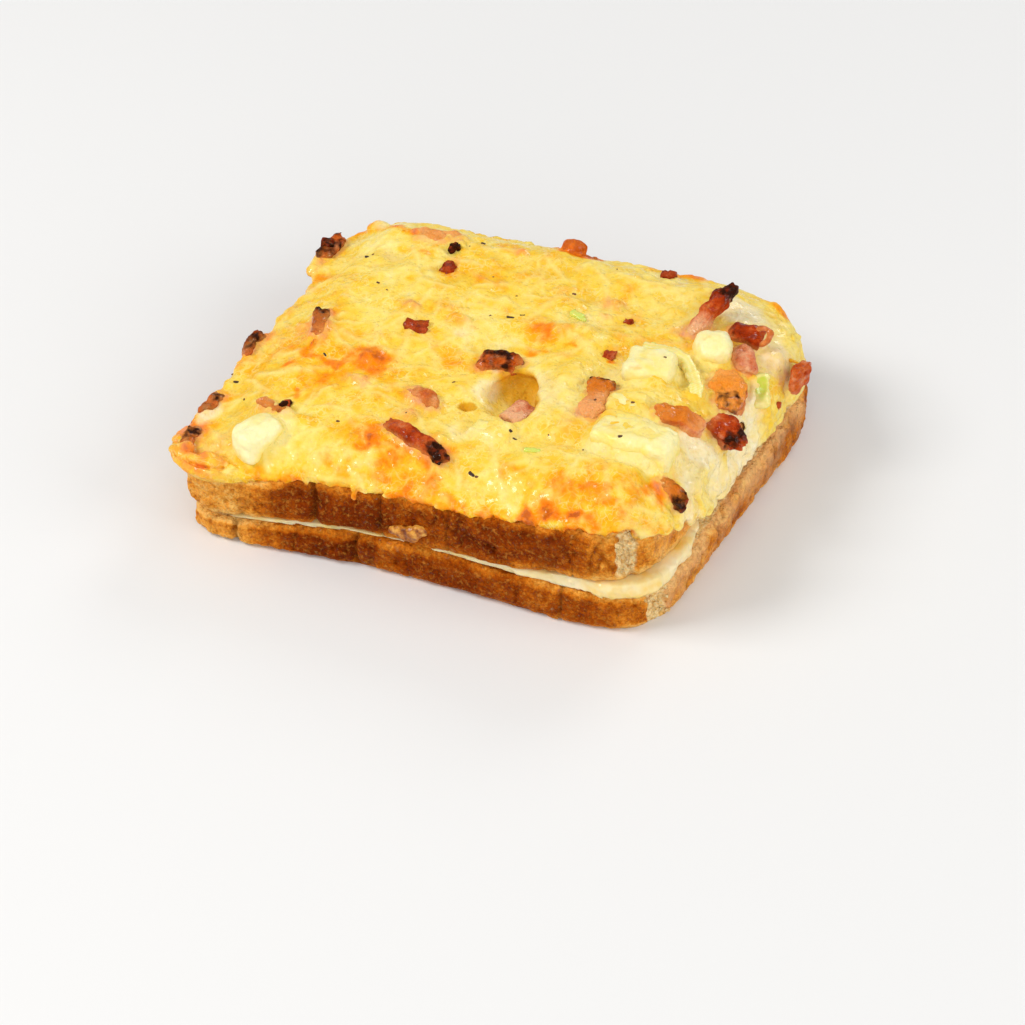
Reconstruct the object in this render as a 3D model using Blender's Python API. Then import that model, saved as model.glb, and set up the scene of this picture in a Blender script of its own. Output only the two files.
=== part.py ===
"""Croque monsieur with a gratin of cheese, potato, bacon and leek, at real size.

Two slices of sandwich bread hold a creamy filling. A baked cheese layer covers
the top slice and slumps down its right side on to the ledge of the wider bottom
slice. Bacon sticks, potato dice and leek sit in sockets in that cheese.

Frame: +X along the front crust to the right, +Y from the front crust to the
back, +Z up. The origin is on the surface that the food stands on, under the
middle of its outline. Lengths below are in millimetres; MM turns them to metres.
"""

import math
from collections import namedtuple

import bmesh
import bpy
from mathutils import Euler, Matrix, Vector, noise

MM = 0.001

# ---------------------------------------------------------------- bread slices
SLICE_THICK = 12.6  # bottom slice, away from its squashed left corner
TOP_SLICE_THICK = 11.9
SLICE_FRONT = -53.0
SLICE_BACK = 51.5
LEFT_LEAN = 0.115  # both sides run to the right towards the back: the loaf was cut askew
RIGHT_LEAN = 0.145
# How square each corner of a slice is: higher is sharper
FRONT_LEFT_CORNER = 24
FRONT_RIGHT_CORNER = 13
BACK_LEFT_CORNER = 13
BACK_RIGHT_CORNER = 7
CRUST_ROUND = 1.1  # how far the cut faces stand in from the crust
CRUST_RIPPLE = 0.55
FRONT_BOW = 1.1  # the front crust is hollow in its middle by twice this
FRONT_BOW_CENTRE = -14.0
FRONT_BOW_SPAN = 96.0

# --------------------------------------------------------------------- filling
FILLING_LEAST = 1.9
FILLING_CORNER = 4.6  # extra height where the front right corner gapes
FILLING_DEPTH = 0.985  # of the bottom slice, from the front to the back

# ---------------------------------------------------------------- cheese layer
CHEESE_RIM = 1.6  # thickness where it meets a crust
CHEESE_BODY = 7.0  # thickness away from the edges
RIM_WIDTH = 13.0
DRAPE_FROM = -29.0  # along the right side, where the slump starts
DRAPE_FULL = -21.0
DRAPE_FOOT = 13.25  # stands just above the bottom slice
DRAPE_ROLL = 3.4  # how far its shoulder rolls down before it drops
FIT_GAP = 0.35  # clearance between touching pieces

Outline = namedtuple("Outline", "left right")  # where each side crosses the middle line
BOTTOM_OUTLINE = Outline(-63.9, 60.6)
TOP_OUTLINE = Outline(-65.0, 57.8)

# Rings of a slab's side wall: (share of the height, how far out from the outline)
CRUST_RINGS = [(0.0, -CRUST_ROUND), (0.17, 0.2), (0.83, 0.2), (1.0, -CRUST_ROUND)]
FILLING_RINGS = [(0.0, -0.3), (1.0, -0.3)]
CHEESE_RINGS = [(0.0, -0.8), (0.5, 0.0), (1.0, -1.4)]

# Swellings and hollows of the cheese: (x, y, radius x, radius y, height)
SWELLINGS = [
    (34, -12, 17, 22, 4.6),  # potato heap
    (14, -10, 6, 17, 3.0),  # ridge beside the pocket
    (12, 14, 12, 9, 1.8),
    (-36, 14, 24, 20, 1.2),
    (-50, -46, 9, 9, 2.4),  # buried potato corner
    (-12, -40, 14, 7, 1.0),
    (-6, 45, 9, 7, 2.4),
    (34, 40, 16, 8, 1.8),
    (-52, 40, 9, 8, 1.2),
    (30, -44, 24, 7, 1.4),  # browned front flank
]
HOLLOWS = [
    (23, -6, 4, 5, 3.2),
    (26, 8, 4, 4, 2.0),
    (44, 2, 4, 5, 2.2),
    (-24, -6, 12, 9, 1.0),
    (24, -33, 20, 2.2, 1.7),  # crease behind the flank
    (-7, -22, 3, 3, 1.6),
]

# Open pocket under a lip of cheese: centre, radii and lean
POCKET_AT = (1.5, -14.5, 36.0)
POCKET_RADII = (8.2, 9.6, 6.6)
POCKET_LEAN = (math.radians(-8), math.radians(24), math.radians(-12))

# Bacon: name, x, y, lift of its middle over the cheese, length, width, thickness, turn, pitch, bend
BACON = [
    ("bacon_front", -13.0, -39.3, 1.0, 20.0, 4.8, 4.0, -29, -1, 1.0),
    ("bacon_pocket_lip", -3.9, -4.4, 1.4, 10.0, 6.0, 3.8, 8, 2, 0.8),
    ("bacon_standing", 40.5, 28.4, 4.0, 17.5, 4.4, 3.8, 63, 25, 0.6),
    ("bacon_ridge", 24.6, -13.6, 0.5, 16.5, 4.8, 3.6, -84, 6, 0.8),
    ("bacon_right_slope", 56.0, -7.4, 3.0, 10.0, 6.4, 5.0, -28, -8, 0.4),
    ("bacon_heap", 46.0, -13.2, 0.6, 12.5, 4.6, 3.4, 10, -24, 0.8),
    ("bacon_right_nugget", 52.2, 6.4, 1.6, 11.5, 7.6, 5.4, -75, -8, 0.7),
    ("bacon_right_back", 50.2, 26.6, 1.2, 8.2, 5.0, 4.2, 11, -4, 0.5),
    ("bacon_right_pink", 52.5, 18.8, 0.9, 8.2, 3.6, 3.0, -60, -10, 0.5),
    ("bacon_flank_end", 51.6, -35.8, 1.4, 9.0, 4.2, 3.4, -38, -10, 1.0),
    ("bacon_right_edge", 65.3, 25.1, 2.4, 9.0, 3.2, 6.0, 82, -6, 0.3),
    ("bacon_left", -52.4, -3.3, 1.2, 10.0, 4.2, 3.6, 99, 2, 0.8),
    ("bacon_middle", -17.1, -22.9, 1.0, 9.6, 4.4, 3.4, -36, 0, 0.8),
    ("bacon_potato_left", -51.8, -36.0, 1.2, 9.0, 3.8, 3.2, -34, 4, 0.8),
    ("bacon_back_left", -64.4, 32.6, 2.2, 10.4, 5.0, 4.0, 72, 2, 0.6),
    ("bacon_back_edge", -35.8, 38.8, 0.6, 12.6, 4.8, 3.2, 6, 0, 0.8),
    ("bacon_left_rim_back", -69.6, -9.6, 1.8, 9.0, 4.2, 3.4, 78, 0, 0.5),
    ("bacon_left_rim_middle", -71.6, -32.6, 1.6, 8.2, 4.2, 3.2, 74, 2, 0.5),
    ("bacon_left_rim_corner", -71.8, -46.4, 1.6, 7.6, 4.6, 3.4, 88, 0, 0.5),
    ("bacon_in_pocket", 7.4, -20.2, -2.2, 8.0, 4.6, 3.4, 60, 8, 0.6),
]

# Potato dice: name, x, y, height of its top, size x, y, z, turn, tilt
POTATOES = [
    ("potato_left_corner", -52.2, -46.0, 33.4, 12.6, 9.6, 9.0, 14, -6),
    ("potato_back_right", 44.8, 17.0, 39.2, 9.2, 8.8, 9.2, 24, 4),
    ("potato_with_onion", 33.4, 1.8, 41.2, 12.8, 11.5, 11.0, -14, -5),
    ("potato_front_heap", 39.2, -25.8, 41.6, 20.0, 11.6, 10.0, -4, -7),
    ("potato_behind_heap", 32.6, -14.2, 40.8, 9.2, 7.0, 8.0, 8, 4),
    ("potato_below_pocket", 3.2, -30.6, 36.2, 10.5, 6.0, 5.0, -6, -4),
]

# Leek: as bacon, but without a name
LEEK_PIECE = (59.0, 13.0, 0.9, 9.6, 3.8, 1.8, -79, -14, 0.6)

# Onion layer: centre x and y, radius, height, thickness, and the angles where it starts and ends
ONION_LAYER = (30.0, -5.0, 17.9, 2.6, 1.6, 10, 96)

# name: (colour, roughness)
FINISHES = {
    "bread": ((0.42, 0.16, 0.045), 0.75),
    "filling": ((0.80, 0.66, 0.36), 0.45),
    "cheese": ((0.88, 0.60, 0.16), 0.42),
    "bacon": ((0.42, 0.09, 0.045), 0.38),
    "potato": ((0.88, 0.78, 0.42), 0.50),
    "leek": ((0.58, 0.64, 0.16), 0.40),
    "onion": ((0.86, 0.78, 0.36), 0.35),
}


def mix(a, b, share):
    return a + (b - a) * share


def smooth(start, end, value):
    """0 before start and 1 after end, easing in between. start may be the larger."""
    share = min(1.0, max(0.0, (value - start) / (end - start)))
    return share * share * (3 - 2 * share)


def swell(x, y, at_x, at_y, radius_x, radius_y, height):
    return height * math.exp(-(((x - at_x) / radius_x) ** 2) - ((y - at_y) / radius_y) ** 2)


def lumps(x, y, z, pitch):
    """Even noise from about -1 to 1 whose swells are pitch apart."""
    return 1.6 * noise.noise(Vector((x, y, z)) / pitch)


# ------------------------------------------------------------------- outlines
def left_side(outline, y):
    return outline.left + LEFT_LEAN * y


def right_side(outline, y):
    return outline.right + RIGHT_LEAN * y


def inside(outline, x, y):
    """Distance in from the edge of an outline, with its corners rounded."""
    across = min(x - left_side(outline, y), right_side(outline, y) - x)
    along = min(y - SLICE_FRONT, SLICE_BACK - y)
    radius = mix(10.0, mix(14.0, 27.0, smooth(-20, 20, x)), smooth(-20, 20, y))
    over = Vector((max(0.0, radius - across), max(0.0, radius - along)))
    return radius - over.length - min(0.0, max(radius - across, radius - along))


def drape(x, y):
    """How far the cheese has slumped over the right side: 0 not at all, 1 fully."""
    return smooth(DRAPE_FROM, DRAPE_FULL, y) * smooth(26.0, 46.0, x)


def rounded(u, v):
    """Draws the corners of the square from -1 to 1 in, so that its outline is smooth."""
    front = mix(FRONT_LEFT_CORNER, FRONT_RIGHT_CORNER, smooth(-1, 1, u))
    back = mix(BACK_LEFT_CORNER, BACK_RIGHT_CORNER, smooth(-1, 1, u))
    power = mix(front, back, smooth(-1, 1, v))
    cut = 1 / (power + 1)
    return u * (1 - cut * abs(v) ** power), v * (1 - cut * abs(u) ** power)


def slice_plan(outline, u, v):
    """The point of a slice that u places from left to right and v from front to back."""
    a, b = rounded(u, v)
    y = mix(SLICE_FRONT, SLICE_BACK, (b + 1) / 2)
    x = mix(left_side(outline, y), right_side(outline, y), (a + 1) / 2)
    bow = FRONT_BOW * math.cos(2 * math.pi * (x - FRONT_BOW_CENTRE) / FRONT_BOW_SPAN)
    return x, y + bow * smooth(0.0, -1.0, v)


def bottom_plan(u, v):
    return slice_plan(BOTTOM_OUTLINE, u, v)


def top_plan(u, v):
    return slice_plan(TOP_OUTLINE, u, v)


def filling_plan(u, v):
    """Follows the top slice on the left and spreads on to the ledge on the right."""
    x, y = slice_plan(BOTTOM_OUTLINE, u, v)
    middle = (BOTTOM_OUTLINE.left + BOTTOM_OUTLINE.right) / 2
    ledge = mix(1.0, 4.6, smooth(-34.0, -20.0, y) * smooth(0.0, 50.0, x))
    return x - math.copysign(ledge, x - middle) * smooth(0.0, 40.0, abs(x - middle)), y * FILLING_DEPTH


def overhang(x, y):
    """How far the cheese stands out from the top slice."""
    left = smooth(-50.0, -62.0, x) * mix(1.6, 3.8, smooth(25.0, -22.0, y))
    back = 0.6 * smooth(40.0, 50.0, y)
    corner = swell(x, y, -62, 34, 9, 12, 1.6)
    right = mix(0.4 * smooth(30.0, 48.0, x), 2.3, drape(x, y))
    return 0.3 + left + back + corner + right + 0.5 * lumps(x, y, 5.0, 9.0)


def push(u, v):
    """Straight out from the edge of a plan, fading to nothing in its middle."""
    return Vector((u**7, v**7)).normalized() * max(abs(u), abs(v)) ** 3


def cheese_plan(u, v):
    x, y = top_plan(u, v)
    outwards = push(u, v) * overhang(x, y)
    return x + outwards.x, y + outwards.y


# --------------------------------------------------- heights, from bottom to top
def ground(x, y):
    """The bottom slice's underside, flat but for its lifted left corner."""
    return swell(x, y, -74, -62, 12, 12, 1.6)


def bottom_slice_top(x, y):
    squashed = 3.6 * smooth(-20.0, -62.0, x) * mix(0.35, 1.0, smooth(0.0, -50.0, y))
    return SLICE_THICK - squashed + 0.25 * lumps(x, y, 1.0, 26.0)


def top_slice_base(x, y):
    gape = smooth(-6.0, 44.0, x) * smooth(10.0, -44.0, y)
    pinch = swell(x, y, -15, -54, 14, 26, 0.8) + swell(x, y, -64, -54, 8, 20, 1.2)
    return bottom_slice_top(x, y) + FILLING_LEAST + FILLING_CORNER * gape - pinch


def top_slice_top(x, y):
    squashed = 1.0 * smooth(-28.0, -56.0, x)
    return top_slice_base(x, y) + TOP_SLICE_THICK - squashed


def cheese_top(x, y):
    share = smooth(-1.0, RIM_WIDTH, inside(TOP_OUTLINE, x, y))
    body = mix(CHEESE_RIM, CHEESE_BODY, share)
    shape = sum(swell(x, y, *s) for s in SWELLINGS) - sum(swell(x, y, *s) for s in HOLLOWS)
    roll = DRAPE_ROLL * drape(x, y) * smooth(-0.4, -2.2, inside(TOP_OUTLINE, x, y))
    return top_slice_top(x, y) + body + (shape + 0.45 * lumps(x, y, 9.0, 8.0)) * share - roll


def cheese_underside(x, y):
    """Just inside the top slice, but low where the cheese hangs past it to the ledge."""
    rim = top_slice_top(x, y) - 2.2 + 0.8 * lumps(x, y, 7.0, 7.0)
    return mix(rim, DRAPE_FOOT, drape(x, y) * smooth(2.6, 0.4, inside(TOP_OUTLINE, x, y)))


# ---------------------------------------------------------------- mesh helpers
def finish(name, bm, kind, helper=False):
    """Turns a bmesh in millimetres into a shaded object in metres."""
    bmesh.ops.recalc_face_normals(bm, faces=bm.faces)
    bmesh.ops.scale(bm, vec=(MM, MM, MM), verts=bm.verts)
    mesh = bpy.data.meshes.new(name)
    bm.to_mesh(mesh)
    bm.free()
    mesh.shade_smooth()
    mesh.set_sharp_from_angle(angle=math.radians(50))
    mesh.materials.append(material(kind))
    obj = bpy.data.objects.new(name, mesh)
    bpy.context.scene.collection.objects.link(obj)
    if helper:
        obj.hide_render = True
        obj.display_type = "WIRE"
    return obj


def material(kind):
    if kind in bpy.data.materials:
        return bpy.data.materials[kind]
    colour, roughness = FINISHES[kind]
    made = bpy.data.materials.new(kind)
    made.use_nodes = True
    shader = made.node_tree.nodes["Principled BSDF"]
    shader.inputs["Base Color"].default_value = (*colour, 1.0)
    shader.inputs["Roughness"].default_value = roughness
    return made


def spaced(cells):
    """Places from -1 to 1, closer together towards the ends, where outlines turn."""
    even = [2 * i / cells - 1 for i in range(cells + 1)]
    return [0.6 * math.sin(math.pi / 2 * t) + 0.4 * t for t in even]


def edge_walk(columns, rows):
    """The border squares' corners of a grid, once round, anticlockwise."""
    front = [(i, 0) for i in range(columns)]
    right = [(columns, j) for j in range(rows)]
    back = [(i, rows) for i in range(columns, 0, -1)]
    left = [(0, j) for j in range(rows, 0, -1)]
    return front + right + back + left


def outward(points, k):
    before, after = points[k - 1], points[(k + 1) % len(points)]
    along = Vector(after) - Vector(before)
    return Vector((along.y, -along.x)).normalized()


def slab(plan, low, high, rings, cells, grow=0.0):
    """A closed slab over a plan, between two height functions, with a ringed side wall."""
    columns, rows = cells
    us, vs = spaced(columns), spaced(rows)
    grid = [[plan(u, v) for v in vs] for u in us]
    walk = edge_walk(columns, rows)
    border = [grid[i][j] for i, j in walk]
    out = [outward(border, k) for k in range(len(border))]
    bm = bmesh.new()

    def ring(share, outset):
        made = []
        for (x, y), normal in zip(border, out):
            z = mix(low(x, y) - grow, high(x, y) + grow, share)
            ripple = CRUST_RIPPLE * lumps(x, y, z, 9.0) if 0 < share < 1 else 0.0
            at = Vector((x, y)) + normal * (outset + grow + ripple)
            made.append(bm.verts.new((at.x, at.y, z)))
        return made

    walls = [ring(share, outset) for share, outset in rings]
    for under, over in zip(walls, walls[1:]):
        for k in range(len(walk)):
            after = (k + 1) % len(walk)
            bm.faces.new((under[k], under[after], over[after], over[k]))
    caps = ((low, walls[0], rings[0][1], -grow), (high, walls[-1], rings[-1][1], grow))
    for height, wall, outset, lift in caps:
        on_edge = dict(zip(walk, wall))
        verts = {}
        for i, u in enumerate(us):
            for j, v in enumerate(vs):
                x, y = Vector(grid[i][j]) + push(u, v) * (outset + grow)
                verts[i, j] = on_edge.get((i, j)) or bm.verts.new((x, y, height(x, y) + lift))
        for i in range(columns):
            for j in range(rows):
                bm.faces.new((verts[i, j], verts[i + 1, j], verts[i + 1, j + 1], verts[i, j + 1]))
    return bm


def strip(length, width, thick, bend, grow=0.0):
    """A stick of meat or leek along X: four-sided with cut corners, bent and uneven."""
    stations = [-0.5, -0.41, 0.0, 0.39, 0.5]
    bm = bmesh.new()
    rings = []
    for station in stations:
        end = 0.74 if abs(station) == 0.5 else 1.0
        half_width = width / 2 * end * (1 + 0.14 * math.sin(9 * station + width)) + grow
        half_thick = thick / 2 * end * (1 + 0.12 * math.cos(7 * station + length)) + grow
        x = station * length + math.copysign(grow, station)
        lift = bend * (1 - (2 * station) ** 2) - bend / 2
        side = 0.6 * bend * math.sin(5 * station)
        corner = 0.62
        section = [(1, corner), (corner, 1), (-corner, 1), (-1, corner)]
        section += [(-a, -b) for a, b in section]
        ring = [bm.verts.new((x, a * half_width + side, b * half_thick + lift)) for a, b in section]
        rings.append(ring)
    for before, after in zip(rings, rings[1:]):
        for k in range(len(before)):
            follow = (k + 1) % len(before)
            bm.faces.new((before[k], before[follow], after[follow], after[k]))
    bm.faces.new(rings[0])
    bm.faces.new(rings[-1])
    return bm


def place(bm, at, turn, pitch, tilt=0.0):
    """Turns a piece about Z after pitching its far end up and tilting it, then moves it."""
    lean = Euler((math.radians(tilt), math.radians(-pitch), math.radians(turn)), "XYZ")
    bmesh.ops.rotate(bm, verts=bm.verts, matrix=lean.to_matrix())
    bmesh.ops.translate(bm, verts=bm.verts, vec=at)
    return bm


def bacon(piece, grow=0.0):
    _, x, y, lift, length, width, thick, turn, pitch, bend = piece
    at = (x, y, cheese_top(x, y) + lift - thick / 4)
    return place(strip(length, width, thick, bend, grow), at, turn, pitch)


def leek(piece, grow=0.0):
    x, y, lift, length, width, thick, turn, pitch, bend = piece
    at = (x, y, cheese_top(x, y) + lift)
    return place(strip(length, width, thick, bend, grow), at, turn, pitch)


def potato(piece, grow=0.0):
    """A knife-cut cube with worn corners."""
    _, x, y, top, size_x, size_y, size_z, turn, tilt = piece
    bm = bmesh.new()
    bmesh.ops.create_cube(bm, size=1.0)
    for v in bm.verts:
        skew = 1 + 0.12 * noise.noise(v.co * 3 + Vector((x, y, top)))
        v.co = Vector((v.co.x * size_x, v.co.y * size_y, v.co.z * size_z)) * skew
    bmesh.ops.bevel(bm, geom=bm.edges[:], offset=min(size_x, size_y) * 0.2, segments=2, profile=0.6, affect="EDGES")
    if grow:
        bm.normal_update()
        outwards = [v.normal.copy() for v in bm.verts]
        for v, normal in zip(bm.verts, outwards):
            v.co += normal * grow * 1.15
    return place(bm, (x, y, top - size_z / 2), turn, 0.0, tilt)


def onion(piece, grow=0.0):
    """One curved layer of onion that leans against the potato."""
    centre_x, centre_y, radius, height, thick, start, end = piece
    start, end = (math.radians(angle) for angle in (start, end))
    turns = 10
    bm = bmesh.new()
    rings = []
    for k in range(turns + 1):
        share = k / turns
        angle = mix(start - grow / radius, end + grow / radius, share)
        outwards = Vector((math.cos(angle), math.sin(angle), 0.0))
        x, y = centre_x + radius * outwards.x, centre_y + radius * outwards.y
        middle = Vector((x, y, cheese_top(x, y) + 0.6 + 1.4 * math.sin(math.pi * share)))
        across = outwards * (thick / 2 + grow)
        up = Vector((0.0, 0.0, height / 2 * (0.55 + 0.45 * math.sin(math.pi * share)) + grow))
        section = [middle + a * across + b * up for a, b in ((1, -1), (1, 1), (-1, 1), (-1, -1))]
        rings.append([bm.verts.new(at) for at in section])
    for before, after in zip(rings, rings[1:]):
        for k in range(4):
            follow = (k + 1) % 4
            bm.faces.new((before[k], before[follow], after[follow], after[k]))
    bm.faces.new(rings[0])
    bm.faces.new(rings[-1])
    return bm


def pocket():
    """The egg-shaped hollow that is scooped out under the lip."""
    bm = bmesh.new()
    bmesh.ops.create_icosphere(bm, subdivisions=3, radius=1.0)
    for v in bm.verts:
        v.co = Vector(c * r for c, r in zip(v.co, POCKET_RADII)) * (1 + 0.08 * noise.noise(v.co * 1.7))
    bmesh.ops.rotate(bm, verts=bm.verts, matrix=Euler(POCKET_LEAN).to_matrix())
    bmesh.ops.translate(bm, verts=bm.verts, vec=POCKET_AT)
    return bm


# --------------------------------------------------------------------- the part
def cut(body, cutters):
    """Takes every cutter out of the body in one go."""
    room = bpy.data.collections.new("room_in_" + body.name)
    bpy.context.scene.collection.children.link(room)
    for cutter in cutters:
        bpy.context.scene.collection.objects.unlink(cutter)
        room.objects.link(cutter)
    boolean = body.modifiers.new("fit_pieces", "BOOLEAN")
    boolean.operation = "DIFFERENCE"
    boolean.solver = "EXACT"
    boolean.operand_type = "COLLECTION"
    boolean.collection = room


def centre_on_origin():
    """Moves every mesh so that the origin is under the middle of the visible outline."""
    corners = [v.co for obj in bpy.data.objects if not obj.hide_render for v in obj.data.vertices]
    middle = [(min(c[k] for c in corners) + max(c[k] for c in corners)) / 2 for k in (0, 1)]
    for obj in bpy.data.objects:
        obj.data.transform(Matrix.Translation((-middle[0], -middle[1], 0.0)))


def bread_slices(grow=0.0):
    cells = (12, 10)
    bottom = slab(bottom_plan, ground, bottom_slice_top, CRUST_RINGS, cells, grow)
    top = slab(top_plan, top_slice_base, top_slice_top, CRUST_RINGS, cells, grow)
    return {"bread_bottom": bottom, "bread_top": top}


def filling():
    def low(x, y):
        return bottom_slice_top(x, y) + FIT_GAP

    def high(x, y):
        return top_slice_base(x, y) - FIT_GAP

    return slab(filling_plan, low, high, FILLING_RINGS, (10, 9))


def build():
    for obj in list(bpy.data.objects):
        bpy.data.objects.remove(obj)
    for name, bm in bread_slices().items():
        finish(name, bm, "bread")
    finish("filling", filling(), "filling")
    cheese = finish(
        "cheese_topping",
        slab(cheese_plan, cheese_underside, cheese_top, CHEESE_RINGS, (26, 22)),
        "cheese",
    )
    cutters = [
        finish("room_for_bread", bread_slices(FIT_GAP)["bread_top"], "bread", helper=True),
        finish("pocket", pocket(), "cheese", helper=True),
    ]
    pieces = {piece[0]: ("bacon", bacon, piece) for piece in BACON}
    pieces |= {piece[0]: ("potato", potato, piece) for piece in POTATOES}
    pieces["leek_piece"] = ("leek", leek, LEEK_PIECE)
    pieces["onion_layer"] = ("onion", onion, ONION_LAYER)
    for name, (kind, shape, size) in pieces.items():
        finish(name, shape(size), kind)
        cutters.append(finish("socket_" + name, shape(size, FIT_GAP), kind, helper=True))
    cut(cheese, cutters)
    centre_on_origin()


build()
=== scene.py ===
# %% [markdown]
# # A croque monsieur, dressed
#
# The sandwich arrives as a imported CAD model: two slices of bread, the creamy
# filling, the baked cheese, and the bacon, potato, leek and onion that sit in it.
# Its sizes and places are right, and its surfaces are plain. Each cell below
# turns one of those plain solids into food: it is copied, given an even skin,
# sculpted with soft random relief, and painted by what the oven did to it, with
# some shade and light painted in as well.

# %% Load the imported model
import itertools
import math

import bpy
import numpy as np
from mathutils import Euler, Matrix, Vector
from mathutils.bvhtree import BVHTree


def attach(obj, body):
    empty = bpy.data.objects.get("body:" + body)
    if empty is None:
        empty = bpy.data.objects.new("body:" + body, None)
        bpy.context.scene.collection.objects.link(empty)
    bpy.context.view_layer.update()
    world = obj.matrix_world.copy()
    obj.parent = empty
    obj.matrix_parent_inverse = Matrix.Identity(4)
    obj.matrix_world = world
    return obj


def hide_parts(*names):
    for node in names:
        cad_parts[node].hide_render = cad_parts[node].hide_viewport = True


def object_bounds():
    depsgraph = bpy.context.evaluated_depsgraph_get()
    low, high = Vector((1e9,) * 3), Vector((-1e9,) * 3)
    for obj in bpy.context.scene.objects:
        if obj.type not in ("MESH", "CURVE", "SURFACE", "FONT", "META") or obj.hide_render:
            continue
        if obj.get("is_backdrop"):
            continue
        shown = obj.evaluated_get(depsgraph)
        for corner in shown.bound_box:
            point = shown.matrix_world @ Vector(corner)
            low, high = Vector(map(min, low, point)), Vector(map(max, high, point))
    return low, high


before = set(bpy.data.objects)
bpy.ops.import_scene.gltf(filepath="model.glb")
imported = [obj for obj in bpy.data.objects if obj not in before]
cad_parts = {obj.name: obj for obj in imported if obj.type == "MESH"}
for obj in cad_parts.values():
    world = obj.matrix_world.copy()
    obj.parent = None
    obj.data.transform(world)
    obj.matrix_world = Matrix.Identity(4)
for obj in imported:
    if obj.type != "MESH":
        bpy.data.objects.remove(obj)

MM = 0.001
cad_low, cad_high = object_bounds()
nodes = list(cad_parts)
print("solids", len(nodes), "size in mm", [round(v / MM, 1) for v in cad_high - cad_low])

# %% [markdown]
# ## Camera, floor and light
#
# The food is looked at from the front right, from a good way off with a long
# lens, so its sides stay nearly parallel. Camera and lights come first. Browned
# food needs broad light from above, which shows its relief without hard shadows:
# a key lamp at the left, and two weaker ones at the front and the right that open
# its shadows. A fourth lamp stands behind it and draws the wet glints on fat and
# cream.

# %% Camera
LOOK_AT = Vector((8.7, -18.1, 0.0)) * MM
AZIMUTH = math.radians(19.75)
ELEVATION = math.radians(41.78)
DISTANCE = 1235.6 * MM
LENS = 173.1

towards_camera = Vector((
    math.sin(AZIMUTH) * math.cos(ELEVATION),
    -math.cos(AZIMUTH) * math.cos(ELEVATION),
    math.sin(ELEVATION),
))
camera = bpy.data.objects.new("camera", bpy.data.cameras.new("camera"))
camera.data.lens = LENS
camera.data.sensor_width = 36
camera.location = LOOK_AT + towards_camera * DISTANCE
camera.rotation_euler = towards_camera.to_track_quat("Z", "Y").to_euler()
bpy.context.scene.collection.objects.link(camera)
bpy.context.scene.camera = camera
bpy.context.scene.view_settings.view_transform = "Standard"
print("camera at", [round(v, 3) for v in camera.location])

# %% Floor
bpy.ops.object.select_all(action="DESELECT")
bpy.ops.mesh.primitive_plane_add(size=6, location=(0, 0, cad_low.z))
floor = bpy.context.object
floor.name = "floor"
paper = bpy.data.materials.new("pale_floor")
paper.use_nodes = True
paper_shader = paper.node_tree.nodes["Principled BSDF"]
paper_shader.inputs["Base Color"].default_value = (0.8, 0.8, 0.8, 1)
paper_shader.inputs["Roughness"].default_value = 0.6
floor.data.materials.append(paper)
floor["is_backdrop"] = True
print("floor at", floor.location.z)

# %% Lamps
def softbox(name, place, size, watts, colour=(1.0, 1.0, 1.0)):
    """A square lamp that looks at the food, its size and place in metres."""
    lamp = bpy.data.lights.new(name, "AREA")
    lamp.shape = "SQUARE"
    lamp.size = size
    lamp.energy = watts
    lamp.color = colour
    stand = bpy.data.objects.new(name, lamp)
    stand.location = place
    stand.rotation_euler = Vector(place).to_track_quat("Z", "Y").to_euler()
    bpy.context.scene.collection.objects.link(stand)


softbox("key", (-0.75, -0.35, 0.85), 0.5, 8.3, (1.0, 0.985, 0.955))
softbox("back_glint", (0.25, 1.0, 0.7), 0.45, 2.6)
softbox("front_fill", (0.50, -1.0, 0.55), 1.0, 5.2, (1.0, 0.99, 0.97))
softbox("right_fill", (1.0, -0.05, 0.60), 0.8, 4.2, (1.0, 0.99, 0.97))
sky = bpy.data.worlds.new("studio")
sky.use_nodes = True
sky_light = sky.node_tree.nodes["Background"]
sky_light.inputs["Color"].default_value = (1.0, 1.0, 1.0, 1)
sky_light.inputs["Strength"].default_value = 0.40
bpy.context.scene.world = sky
print("lamps", len(bpy.data.lights))

# %% [markdown]
# ## Tools for a soft skin
#
# Baked food has no straight edges, so every piece here starts the same way. A
# copy of its solid is merged where its triangles meet, remeshed to even little
# squares, and softened. Only then can its points be pushed in and out. Blender's
# Remesh and Smooth modifiers do the first half. The second half needs relief that
# knows where it is on the sandwich, so the points are read into arrays, moved
# along their own outward directions, and written back.

# %% Copy, remesh, soften
def only(piece):
    """Makes this the one selected object."""
    bpy.ops.object.select_all(action="DESELECT")
    piece.select_set(True)
    bpy.context.view_layer.objects.active = piece


def finish_modifier(piece, kind, **settings):
    """Adds a modifier with its settings and applies it."""
    only(piece)
    modifier = piece.modifiers.new(kind.lower(), kind)
    for name, value in settings.items():
        setattr(modifier, name, value)
    bpy.ops.object.modifier_apply(modifier=modifier.name)


def merge_points(piece):
    """Joins the loose triangles of a solid where their corners meet."""
    only(piece)
    bpy.ops.object.mode_set(mode="EDIT")
    bpy.ops.mesh.select_all(action="SELECT")
    bpy.ops.mesh.remove_doubles(threshold=0.001 * MM)
    bpy.ops.object.mode_set(mode="OBJECT")


def join(name, parts):
    """Several objects made into one."""
    bpy.ops.object.select_all(action="DESELECT")
    for part in parts:
        part.select_set(True)
    bpy.context.view_layer.objects.active = parts[0]
    if len(parts) > 1:
        bpy.ops.object.join()
    parts[0].name = name
    parts[0].data.name = name
    return parts[0]


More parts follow.
